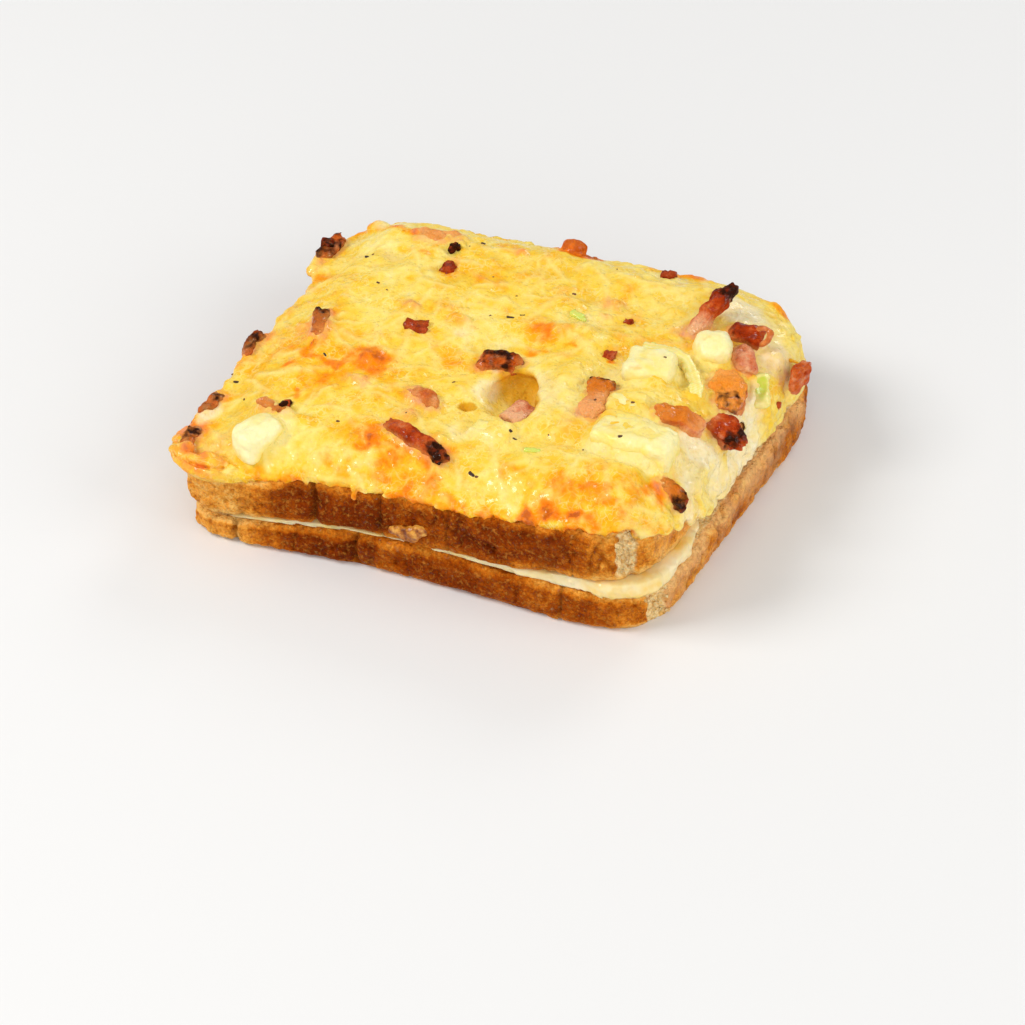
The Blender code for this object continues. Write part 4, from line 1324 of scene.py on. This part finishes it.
# %% Caramelised bead
# (x, y, z, half length, half depth, half height)
BEADS = [
    (-8.6, -50.3, 15.9, 2.7, 1.5, 1.7), (-5.6, -50.5, 16.3, 2.4, 1.6, 1.9),
    (-3.3, -50.4, 17.4, 1.8, 1.2, 1.5), (-10.8, -50.2, 15.4, 1.4, 1.0, 1.1),
    (-6.6, -50.8, 14.6, 2.6, 1.1, 1.0), (-4.4, -50.6, 18.4, 1.2, 0.9, 0.8),
]
bead = join("caramelised_bead", [ball(entry[:3], entry[3:6], 0) for entry in BEADS])
even_skin(bead, 0.3, 3)
points, ways = skin(bead)
reshape(bead, points + ways * (0.22 * rough(points, 1.6, 921))[:, None])
print(bead.name, len(points), "points")

# %% [markdown]
# ### Green shreds and bread crumbs
#
# In two places a shred of leek is still bright green, and crumbs of bread hang at
# the torn corners. Both are small knobbly blocks again. The leek is stretched and
# strewn as the bacon crumbs are. The bread crumbs hang on an upright side, where
# no ray from above helps, so each is set on the nearest place of the slices.

# %% Green shreds
shred_entries = [
    (12.2, 20.4, 0.35, 3.4, 1.7, 1.3, -28, 0, 0.0, 0.0),
    (13.6, 19.3, 0.4, 2.6, 1.2, 1.1, -20, 0, 0.0, 0.0),
    (19.2, -33.2, 0.55, 3.4, 1.2, 0.8, 10, 0, 0.0, 0.0),
]
green_shreds = strew("green_shreds", crumb_model("green_shred", 4), shred_entries, 0.1)

# %% Crumbs of bread round the torn corners
bread_ground = [surface_tree(bread_bottom), surface_tree(bread_top)]
# (x, y, size, z)
BREAD_CRUMBS = [
    (58.6, -43.9, 0.9, 2.2), (57.5, -45.6, 1.2, 5.4), (56.4, -46.8, 1.0, 9.6),
    (55.0, -46.6, 1.1, 12.2), (50.9, -50.4, 1.0, 19.2), (51.4, -49.2, 1.2, 22.6),
    (50.2, -50.0, 0.9, 25.9), (57.6, -44.0, 1.1, 12.4), (49.3, -50.3, 1.2, 28.4),
    (59.4, -42.8, 0.8, 7.6),
]
crumb = crumb_model("bread_crumb", 3)
crumbs = []
for n, (x, y, size, z) in enumerate(BREAD_CRUMBS):
    hits = [tree.find_nearest(Vector((x, y, z)) * MM) for tree in bread_ground]
    nearest, _, _, _ = min(hits, key=lambda hit: hit[3])
    piece = copy_model("bread_crumb", crumb)
    points, ways = skin(piece)
    points = points + ways * (0.3 * rough(points + 3.1 * n, 0.6, 931))[:, None]
    points = points * size * np.array([1.2, 1.0, 0.9])
    reshape(piece, points + np.array(nearest) / MM)
    paint(piece, "bare_crumb", 0.8)
    paint(piece, "toasted", 0.3)
    crumbs.append(piece)
bpy.data.objects.remove(crumb)
bread_crumbs = join("bread_crumbs", crumbs)
print(bread_crumbs.name, len(crumbs))

# %% [markdown]
# ## Materials
#
# Food looks real when its colour follows its history: what was high is browned,
# what was wet is pale and shiny, what was thin is burnt. Those histories are
# already painted on the points as masks, so each material reads its masks, adds
# finer noise than the points can hold, and turns them into colour. Some masks
# hold painted shade and light as well: dark splits, pits and pores, a gold cave,
# paler ridges. The noise effects that several foods share are node groups, built
# once.

# %% Small node helpers
def link_or_set(tree, socket, value):
    """A socket takes another node's output, or a plain value."""
    if isinstance(value, bpy.types.NodeSocket):
        tree.links.new(value, socket)
    else:
        socket.default_value = value


def add_node(tree, kind, inputs=(), **settings):
    """A node with its settings and its inputs."""
    made = tree.nodes.new(kind)
    for name, value in settings.items():
        setattr(made, name, value)
    for key, value in dict(inputs).items():
        link_or_set(tree, made.inputs[key], value)
    return made


def maths(tree, how, a, b):
    return add_node(tree, "ShaderNodeMath", {0: a, 1: b}, operation=how).outputs[0]


def plus(tree, a, b):
    return maths(tree, "ADD", a, b)


def times(tree, a, b):
    return maths(tree, "MULTIPLY", a, b)


def stirred(tree, value, noise, amount):
    """The value, made uneven by a noise that goes from 0 to 1."""
    return plus(tree, value, times(tree, maths(tree, "SUBTRACT", noise, 0.5), amount))


def stretch(tree, value, start, end, low=0.0, high=1.0):
    """Value from start to end becomes low to high, and stays within them."""
    made = add_node(tree, "ShaderNodeMapRange", {0: value, 1: start, 2: end, 3: low, 4: high})
    return made.outputs[0]


def painted(tree, name, share=None):
    """A painted mask, or a share of it."""
    mask = add_node(tree, "ShaderNodeAttribute", attribute_name=name).outputs["Fac"]
    return mask if share is None else times(tree, mask, share)


# %% Helpers for colours and relief
def mixed(tree, mask, first, second):
    """Colour `first` where the mask is 0 and `second` where it is 1."""
    made = add_node(tree, "ShaderNodeMix", data_type="RGBA")
    for key, value in ((0, mask), (6, first), (7, second)):
        link_or_set(tree, made.inputs[key], (*value, 1) if isinstance(value, tuple) else value)
    return made.outputs[2]


def colour_steps(tree, value, steps):
    """A colour ramp: steps are (place, (r, g, b))."""
    made = add_node(tree, "ShaderNodeValToRGB", {0: value})
    band = made.color_ramp
    while len(band.elements) < len(steps):
        band.elements.new(0.5)
    for element, (place, colour) in zip(band.elements, steps):
        element.position = place
        element.color = (*colour, 1)
    return made.outputs[0]


def new_material(name, roughness, **sockets):
    """A material with a Principled shader; returns it, its node tree and the shader."""
    made = bpy.data.materials.new(name)
    made.use_nodes = True
    shader = made.node_tree.nodes["Principled BSDF"]
    shader.inputs["Roughness"].default_value = roughness
    for key, value in sockets.items():
        shader.inputs[key.replace("_", " ")].default_value = value
    return made, made.node_tree, shader


def feed(tree, shader, **outputs):
    """Links what changes over the surface to the shader: Base_Color is its Base Color."""
    for key, output in outputs.items():
        tree.links.new(output, shader.inputs[key.replace("_", " ")])


def add_bump(tree, shader, height, distance, strength):
    """Relief finer than the points; the distance is in mm."""
    heights = {"Height": height, "Distance": distance * MM, "Strength": strength}
    feed(tree, shader, Normal=add_node(tree, "ShaderNodeBump", heights).outputs[0])


# %% [markdown]
# ### Shared effects
#
# Four effects come back at other sizes: soft grain in every food, round pores in
# bread and cheese, thin wandering threads in the cheese, and a scorched edge on
# bacon and herb. Each is a node group with named inputs, so that a material only
# says how wide its grain or pores are. They are fixed to the piece, and their
# widths are in mm, so a crumb and a slice share one true scale.

# %% Helpers for shared effects
FLOAT, COLOUR = "NodeSocketFloat", "NodeSocketColor"


def new_group(name, inputs, outputs):
    """An empty node group, with its input and output nodes."""
    tree = bpy.data.node_groups.new(name, "ShaderNodeTree")
    for label, kind, value in inputs:
        socket = tree.interface.new_socket(name=label, in_out="INPUT", socket_type=kind)
        socket.default_value = value
    for label, kind in outputs:
        tree.interface.new_socket(name=label, in_out="OUTPUT", socket_type=kind)
    return tree, tree.nodes.new("NodeGroupInput"), tree.nodes.new("NodeGroupOutput")


def use_group(tree, group, **inputs):
    """A group placed in a material, with values of its own."""
    return add_node(tree, "ShaderNodeGroup", inputs, node_tree=group)


def texture(tree, kind, size, **inputs):
    """A texture fixed to the piece, with cells of a width in mm."""
    place = add_node(tree, "ShaderNodeTexCoord").outputs["Object"]
    per_metre = maths(tree, "DIVIDE", 1 / MM, size)
    return add_node(tree, kind, {"Vector": place, "Scale": per_metre, **inputs}).outputs[0]


# %% Shared effect: grain
# Noise from 0 to 1, with lumps of a width in mm
grain, given, gives = new_group(
    "grain", [("Size", FLOAT, 1.0), ("Detail", FLOAT, 3.0)], [("Value", FLOAT)]
)
cloud = texture(
    grain, "ShaderNodeTexNoise", given.outputs["Size"],
    Detail=given.outputs["Detail"], Roughness=0.55,
)
grain.links.new(cloud, gives.inputs["Value"])


def grains(tree, size, detail):
    return use_group(tree, grain, Size=size, Detail=detail).outputs[0]


# %% Shared effect: pores
# 1 in round pits or bubbles of a width in mm, 0 between them
pores, given, gives = new_group(
    "pores", [("Size", FLOAT, 1.0), ("Reach", FLOAT, 0.3)], [("Value", FLOAT)]
)
from_pore = texture(pores, "ShaderNodeTexVoronoi", given.outputs["Size"])
inside = stretch(pores, from_pore, 0.0, given.outputs["Reach"], 1.0, 0.0)
pores.links.new(inside, gives.inputs["Value"])

# %% Shared effect: threads
# 1 along thin wandering lines, 0 between them
threads, given, gives = new_group(
    "threads", [("Size", FLOAT, 1.0), ("Width", FLOAT, 0.05)], [("Value", FLOAT)]
)
cloud = texture(threads, "ShaderNodeTexNoise", given.outputs["Size"], Detail=1.0)
from_line = maths(threads, "ABSOLUTE", maths(threads, "SUBTRACT", cloud, 0.5), 0.0)
line = stretch(threads, from_line, 0.0, given.outputs["Width"], 1.0, 0.0)
threads.links.new(line, gives.inputs["Value"])

# %% Shared effect: scorch
# Blackens a colour where a mask is high, with a ragged edge
BURNT_BLACK = (0.032, 0.007, 0.003)
scorch, given, gives = new_group(
    "scorch", [("Colour", COLOUR, (1, 1, 1, 1)), ("Mask", FLOAT, 0.0), ("Size", FLOAT, 0.8)],
    [("Colour", COLOUR), ("Mask", FLOAT)],
)
ragged = stirred(scorch, given.outputs["Mask"], grains(scorch, given.outputs["Size"], 3.0), 0.9)
touched = stretch(scorch, given.outputs["Mask"], 0.02, 0.25)
burnt = times(scorch, stretch(scorch, ragged, 0.25, 0.95), touched)
blackened = mixed(scorch, burnt, given.outputs["Colour"], BURNT_BLACK)
scorch.links.new(blackened, gives.inputs["Colour"])
scorch.links.new(burnt, gives.inputs["Mask"])
print("groups", [g.name for g in bpy.data.node_groups])

# %% [markdown]
# ### Crust and crumb
#
# The crust goes from pale tan to nearly black brown. Its skin has paler blisters
# where tiny bubbles dried, their paler colour partly a painted highlight, and their
# tops shine a little. Pits, splits and folds of the crust and the pores of the
# crumb are painted darker as shade. Cream ran down on the right side and dried as
# a thin film. Where the crust was torn off, and on the cut faces, there is open
# crumb. All of it is one material, because the painted masks say which of these a
# place is.

# %% Bread material: the crust
bread_finish, tree, shader = new_material(
    "toasted_bread", 0.5, Specular_IOR_Level=0.03, Specular_Tint=(1.0, 0.62, 0.30, 1),
    Coat_Roughness=0.14, Subsurface_Weight=0.05, Subsurface_Scale=0.0012,
)
fine, broad = grains(tree, 0.75, 4.0), grains(tree, 3.0, 3.0)
blisters_and_glints = stretch(tree, grains(tree, 1.1, 3.0), 0.52, 0.70)
# The toasted mask also holds painted shade: crust pits darker, bumps lighter
toast = stirred(tree, painted(tree, "toasted"), broad, 0.30)
toast = stirred(tree, toast, fine, 0.42)
crust_colour = colour_steps(tree, toast, [
    (0.04, (0.96, 0.55, 0.15)), (0.20, (0.90, 0.37, 0.050)), (0.36, (0.66, 0.19, 0.012)),
    (0.52, (0.40, 0.080, 0.003)), (0.70, (0.22, 0.030, 0.001)), (0.94, (0.08, 0.008, 0.0005)),
])
# Paler blisters: partly tone, partly a painted highlight for their glints
crust_colour = mixed(tree, times(tree, blisters_and_glints, 0.45), crust_colour, (0.84, 0.33, 0.05))
# Painted shade: splits and folds are painted darker
crust_colour = mixed(tree, painted(tree, "split", 0.5), crust_colour, (0.10, 0.020, 0.004))
film = stirred(tree, painted(tree, "film"), broad, 0.8)
some_film = stretch(tree, painted(tree, "film"), 0.0, 0.2)
film = times(tree, stretch(tree, film, 0.35, 0.85), some_film)
crust_colour = mixed(tree, times(tree, film, 0.62), crust_colour, (0.88, 0.50, 0.22))

# %% Bread material: the crumb, the gloss and the relief
holes = use_group(tree, pores, Size=1.2, Reach=0.5).outputs[0]
# Painted shade: the pores of the crumb are painted darker
pore_shade = times(tree, stretch(tree, holes, 0.4, 0.9), 0.45)
light_crumb = stretch(tree, fine, 0.35, 0.65)
crumb_colour = mixed(tree, light_crumb, (0.88, 0.54, 0.18), (0.98, 0.78, 0.42))
crumb_colour = mixed(tree, pore_shade, crumb_colour, (0.60, 0.26, 0.05))
bare = stretch(tree, stirred(tree, painted(tree, "bare_crumb"), broad, 1.2), 0.2, 0.8)
dull = plus(tree, stretch(tree, fine, 0.35, 0.65, 0.22, 0.50), times(tree, bare, 0.35))
blister_top = stretch(tree, fine, 0.63, 0.67, 0.0, 0.7)
feed(
    tree, shader, Base_Color=mixed(tree, bare, crust_colour, crumb_colour), Roughness=dull,
    Coat_Weight=times(tree, blister_top, maths(tree, "SUBTRACT", 1.0, bare)),
)
wrinkle = plus(tree, times(tree, fine, 1.1), times(tree, holes, -0.6))
add_bump(tree, shader, plus(tree, wrinkle, times(tree, blisters_and_glints, 0.6)), 0.7, 1.0)
print(bread_finish.name, len(tree.nodes), "nodes")

# %% [markdown]
# ### Cheese, cream and filling
#
# Melted cheese lets a little light in, so it glows at thin places, and its oily
# skin gives small sharp glints. Browning takes it from pale yellow over gold and
# orange to brown. Cream is paler and smoother, and stains of bacon and leek show
# through where they lie just under the skin. Shade and light are painted in too:
# pits, the pinhole and the cave go a darker gold, some hollows greenish, and
# ridges and the lit left wall of the cave paler.

# %% Cheese material: browning and shreds
cheese_finish, tree, shader = new_material(
    "baked_cheese", 0.42, Specular_IOR_Level=0.08, Subsurface_Weight=0.12,
    Subsurface_Scale=0.0014, Coat_Roughness=0.09, Subsurface_Radius=(1.0, 0.62, 0.18),
)
fine, middling, broad = grains(tree, 0.7, 4.0), grains(tree, 2.2, 3.0), grains(tree, 8.0, 2.0)
browning = stirred(tree, painted(tree, "browned"), fine, 0.14)
browning = stirred(tree, browning, middling, 0.40)
browning = stirred(tree, browning, broad, 0.34)
colour = colour_steps(tree, browning, [
    (0.02, (0.92, 0.77, 0.32)), (0.20, (0.91, 0.69, 0.15)), (0.38, (0.90, 0.58, 0.045)),
    (0.56, (0.91, 0.43, 0.009)), (0.74, (0.92, 0.28, 0.002)), (0.90, (0.86, 0.19, 0.002)),
    (1.00, (0.55, 0.10, 0.003)),
])
wide_web = use_group(tree, threads, Size=3.2, Width=0.045).outputs[0]
small_web = use_group(tree, threads, Size=1.9, Width=0.035).outputs[0]
web = maths(tree, "MAXIMUM", wide_web, small_web)
web = times(tree, web, stretch(tree, broad, 0.40, 0.60))
# Shreds are painted paler, and so are ridges, as painted light
shreds = maths(tree, "MAXIMUM", web, painted(tree, "strands"))
paler_shreds_and_ridges = times(tree, shreds, stretch(tree, browning, 0.45, 0.8, 0.54, 0.06))
colour = mixed(tree, paler_shreds_and_ridges, colour, (0.96, 0.83, 0.33))

# %% Cheese material: stains, cream, painted shade, gloss and relief
# Green: leek stains, and painted greenish shade in hollows
colour = mixed(tree, painted(tree, "green", 0.40), colour, (0.80, 0.70, 0.12))
stain = times(tree, painted(tree, "pink"), stretch(tree, middling, 0.3, 0.6))
colour = mixed(tree, times(tree, stain, 0.85), colour, (0.80, 0.36, 0.19))
# Cream is painted pale, and so is the lit left wall of the cave, as painted light
pale = stretch(tree, stirred(tree, painted(tree, "creamy_and_lit_wall"), middling, 0.6), 0.1, 0.9)
light_cream = stretch(tree, middling, 0.35, 0.65)
cream_colour = mixed(tree, light_cream, (0.92, 0.73, 0.36), (0.95, 0.84, 0.55))
colour = mixed(tree, times(tree, pale, 0.92), colour, cream_colour)
# Painted shade: pits, the pinhole and the cave are painted a darker gold
colour = mixed(tree, painted(tree, "deep", 0.9), colour, (0.70, 0.34, 0.008))
dull = stretch(tree, middling, 0.35, 0.65, 0.30, 0.50)
oily = stretch(tree, grains(tree, 1.6, 2.0), 0.55, 0.62, 0.02, 0.75)
wet = plus(tree, oily, times(tree, pale, 0.30))
feed(
    tree, shader, Base_Color=colour,
    Roughness=maths(tree, "SUBTRACT", dull, times(tree, pale, 0.14)),
    Coat_Weight=times(tree, wet, maths(tree, "SUBTRACT", 1.0, painted(tree, "deep"))),
)
foam = stretch(tree, use_group(tree, pores, Size=1.5, Reach=0.45).outputs[0], 0.2, 0.7)
skin_height = plus(tree, times(tree, fine, 0.32), times(tree, foam, 0.4))
add_bump(tree, shader, plus(tree, skin_height, middling), 0.5, 0.75)
print(cheese_finish.name, len(tree.nodes), "nodes")

# %% Filling material
filling_finish, tree, shader = new_material(
    "melted_cream", 0.28, Subsurface_Weight=0.2, Subsurface_Scale=0.0016, Coat_Weight=0.3,
    Coat_Roughness=0.1, Subsurface_Radius=(1.0, 0.6, 0.25),
)
middling = grains(tree, 2.6, 4.0)
colour = colour_steps(tree, stirred(tree, painted(tree, "yellow"), middling, 0.8), [
    (0.1, (0.90, 0.77, 0.47)), (0.5, (0.90, 0.72, 0.34)), (0.9, (0.88, 0.60, 0.13)),
])
feed(tree, shader, Base_Color=colour)
add_bump(tree, shader, middling, 0.5, 0.7)
print(filling_finish.name, len(tree.nodes), "nodes")

# %% [markdown]
# ### Bacon
#
# Boiled ham pink, fried red brown and black stand side by side on one stick, so
# one colour ramp runs through them and the painted masks choose the place on it.
# Fat runs along the stick in paler stripes, and cheese that browned on top of it
# leaves an orange glaze.

# %% Bacon material
bacon_finish, tree, shader = new_material(
    "fried_bacon", 0.3, Specular_IOR_Level=0.05, Specular_Tint=(1.0, 0.70, 0.45, 1),
    Subsurface_Weight=0.08, Subsurface_Scale=0.001, Coat_Roughness=0.12,
)
fine, middling = grains(tree, 0.6, 4.0), grains(tree, 1.7, 3.0)
cooked = stirred(tree, painted(tree, "fried"), fine, 0.30)
cooked = stirred(tree, cooked, middling, 0.40)
colour = colour_steps(tree, cooked, [
    (0.04, (0.88, 0.46, 0.24)), (0.22, (0.76, 0.26, 0.12)), (0.40, (0.62, 0.115, 0.022)),
    (0.57, (0.47, 0.046, 0.004)), (0.76, (0.25, 0.020, 0.002)), (0.96, (0.07, 0.008, 0.002)),
])
streak = times(tree, painted(tree, "fat"), stretch(tree, cooked, 0.35, 0.75, 0.34, 0.06))
colour = mixed(tree, streak, colour, (0.88, 0.56, 0.34))
colour = mixed(tree, painted(tree, "glazed", 0.8), colour, (0.95, 0.32, 0.020))
colour = mixed(tree, painted(tree, "clinging", 0.30), colour, (0.92, 0.56, 0.16))
charred = use_group(tree, scorch, Colour=colour, Mask=painted(tree, "charred"), Size=1.5).outputs
dull = plus(tree, stretch(tree, fine, 0.3, 0.7, 0.22, 0.40), times(tree, charred["Mask"], 0.16))
not_burnt = stretch(tree, charred["Mask"], 0.0, 1.0, 1.0, 0.4)
greasy = times(tree, stretch(tree, middling, 0.54, 0.59, 0.0, 0.9), not_burnt)
feed(tree, shader, Base_Color=charred["Colour"], Roughness=dull, Coat_Weight=greasy)
add_bump(tree, shader, plus(tree, fine, middling), 0.7, 0.9)
print(bacon_finish.name, len(tree.nodes), "nodes")

# %% [markdown]
# ### Vegetables and drips
#
# Potato is pale and a little waxy, with yellow where cheese ran over it. Onion
# and leek are wet and let light through, and their ribs are a little darker. The
# burnt flecks and the caramelised bead are the two darkest small things.

# %% Potato material
potato_finish, tree, shader = new_material(
    "waxy_potato", 0.38, Subsurface_Weight=0.22, Subsurface_Scale=0.0018, Coat_Weight=0.15,
    Coat_Roughness=0.2, Subsurface_Radius=(1.0, 0.7, 0.3),
)
fine, middling = grains(tree, 0.8, 4.0), grains(tree, 3.0, 3.0)
covered = stretch(tree, stirred(tree, painted(tree, "glazed"), middling, 0.7), 0.1, 0.9)
covered = maths(tree, "MAXIMUM", covered, painted(tree, "clinging"))
grainy = times(tree, stretch(tree, fine, 0.5, 0.75), 0.25)
colour = mixed(tree, covered, (0.94, 0.87, 0.46), (0.94, 0.74, 0.16))
colour = mixed(tree, grainy, colour, (0.90, 0.74, 0.30))
colour = mixed(tree, painted(tree, "toasted", 0.5), colour, (0.84, 0.40, 0.04))
feed(tree, shader, Base_Color=colour)
add_bump(tree, shader, plus(tree, fine, middling), 0.4, 0.6)
print(potato_finish.name, len(tree.nodes), "nodes")


# %% Onion, leek and green shred materials
def soft_leaf(name, pale, deep, size):
    made, tree, shader = new_material(
        name, 0.25, Subsurface_Weight=0.25, Subsurface_Scale=0.0015, Coat_Weight=0.3,
        Coat_Roughness=0.1,
    )
    middling = grains(tree, size, 3.0)
    ribbed = plus(tree, painted(tree, "ribs", 0.5), times(tree, middling, 0.6))
    feed(tree, shader, Base_Color=mixed(tree, stretch(tree, ribbed, 0.2, 0.8), pale, deep))
    add_bump(tree, shader, middling, 0.3, 0.6)
    return made


onion_finish = soft_leaf("soft_onion", (0.93, 0.86, 0.40), (0.88, 0.70, 0.13), 1.6)
leek_finish = soft_leaf("cooked_leek", (0.90, 0.76, 0.26), (0.56, 0.60, 0.05), 1.8)
shred_finish = soft_leaf("green_leek", (0.72, 0.76, 0.14), (0.42, 0.56, 0.03), 1.2)

# %% Burnt herb and caramel
herb_finish, tree, shader = new_material("burnt_herb", 0.6)
dried = mixed(tree, grains(tree, 0.4, 2.0), (0.22, 0.060, 0.012), (0.09, 0.030, 0.010))
charred = use_group(tree, scorch, Colour=dried, Mask=painted(tree, "charred"), Size=0.5).outputs
feed(tree, shader, Base_Color=charred["Colour"])

caramel_finish, tree, shader = new_material(
    "caramel", 0.3, Specular_IOR_Level=0.2, Coat_Weight=0.4, Coat_Roughness=0.06,
    Subsurface_Weight=0.15, Subsurface_Scale=0.0012,
)
middling = grains(tree, 1.6, 4.0)
colour = colour_steps(tree, middling, [
    (0.34, (0.16, 0.035, 0.004)), (0.5, (0.46, 0.15, 0.014)), (0.64, (0.74, 0.36, 0.06)),
])
feed(tree, shader, Base_Color=colour)
add_bump(tree, shader, middling, 0.4, 0.6)
print("materials", len(bpy.data.materials))

# %% [markdown]
# ## Put it together
#
# Every piece takes its material, hides the solids it stands for, and rides on
# the one body of the sandwich. How far the dressed food's box has grown past the
# box of the solids is printed, so that any growth shows.

# %% Dress, ride and replace
def serve(piece, finish, slot, *stands_for):
    """Gives a piece its material, puts it on the root body and hides the solids it replaces. The
    slot is not used.
    """
    piece.data.materials.clear()
    piece.data.materials.append(finish)
    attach(piece, "root")
    if stands_for:
        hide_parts(*stands_for)


serve(bread_bottom, bread_finish, "bread", "bread_bottom")
serve(bread_top, bread_finish, "bread", "bread_top")
serve(bread_crumbs, bread_finish, "bread")
serve(filling, filling_finish, "filling", "filling")
serve(cheese, cheese_finish, "cheese", "cheese_topping")
serve(thread, cheese_finish, "cheese")
for node, piece in sticks.items():
    serve(piece, bacon_finish, "bacon", node)
serve(bacon_crumbs, bacon_finish, "bacon")
serve(curl, bacon_finish, "bacon")
for node, piece in dice.items():
    serve(piece, potato_finish, "potato", node)
serve(leek, leek_finish, "leek", "leek_piece")
serve(green_shreds, shred_finish, "leek")
serve(onion, onion_finish, "onion", "onion_layer")
serve(flecks, herb_finish, "cheese")
serve(bead, caramel_finish, "cheese")

# %% Compare the boxes and finish
low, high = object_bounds()
grown = [round(v / MM, 2) for v in (*(cad_low - low), *(high - cad_high))]
print("grown by mm", grown)
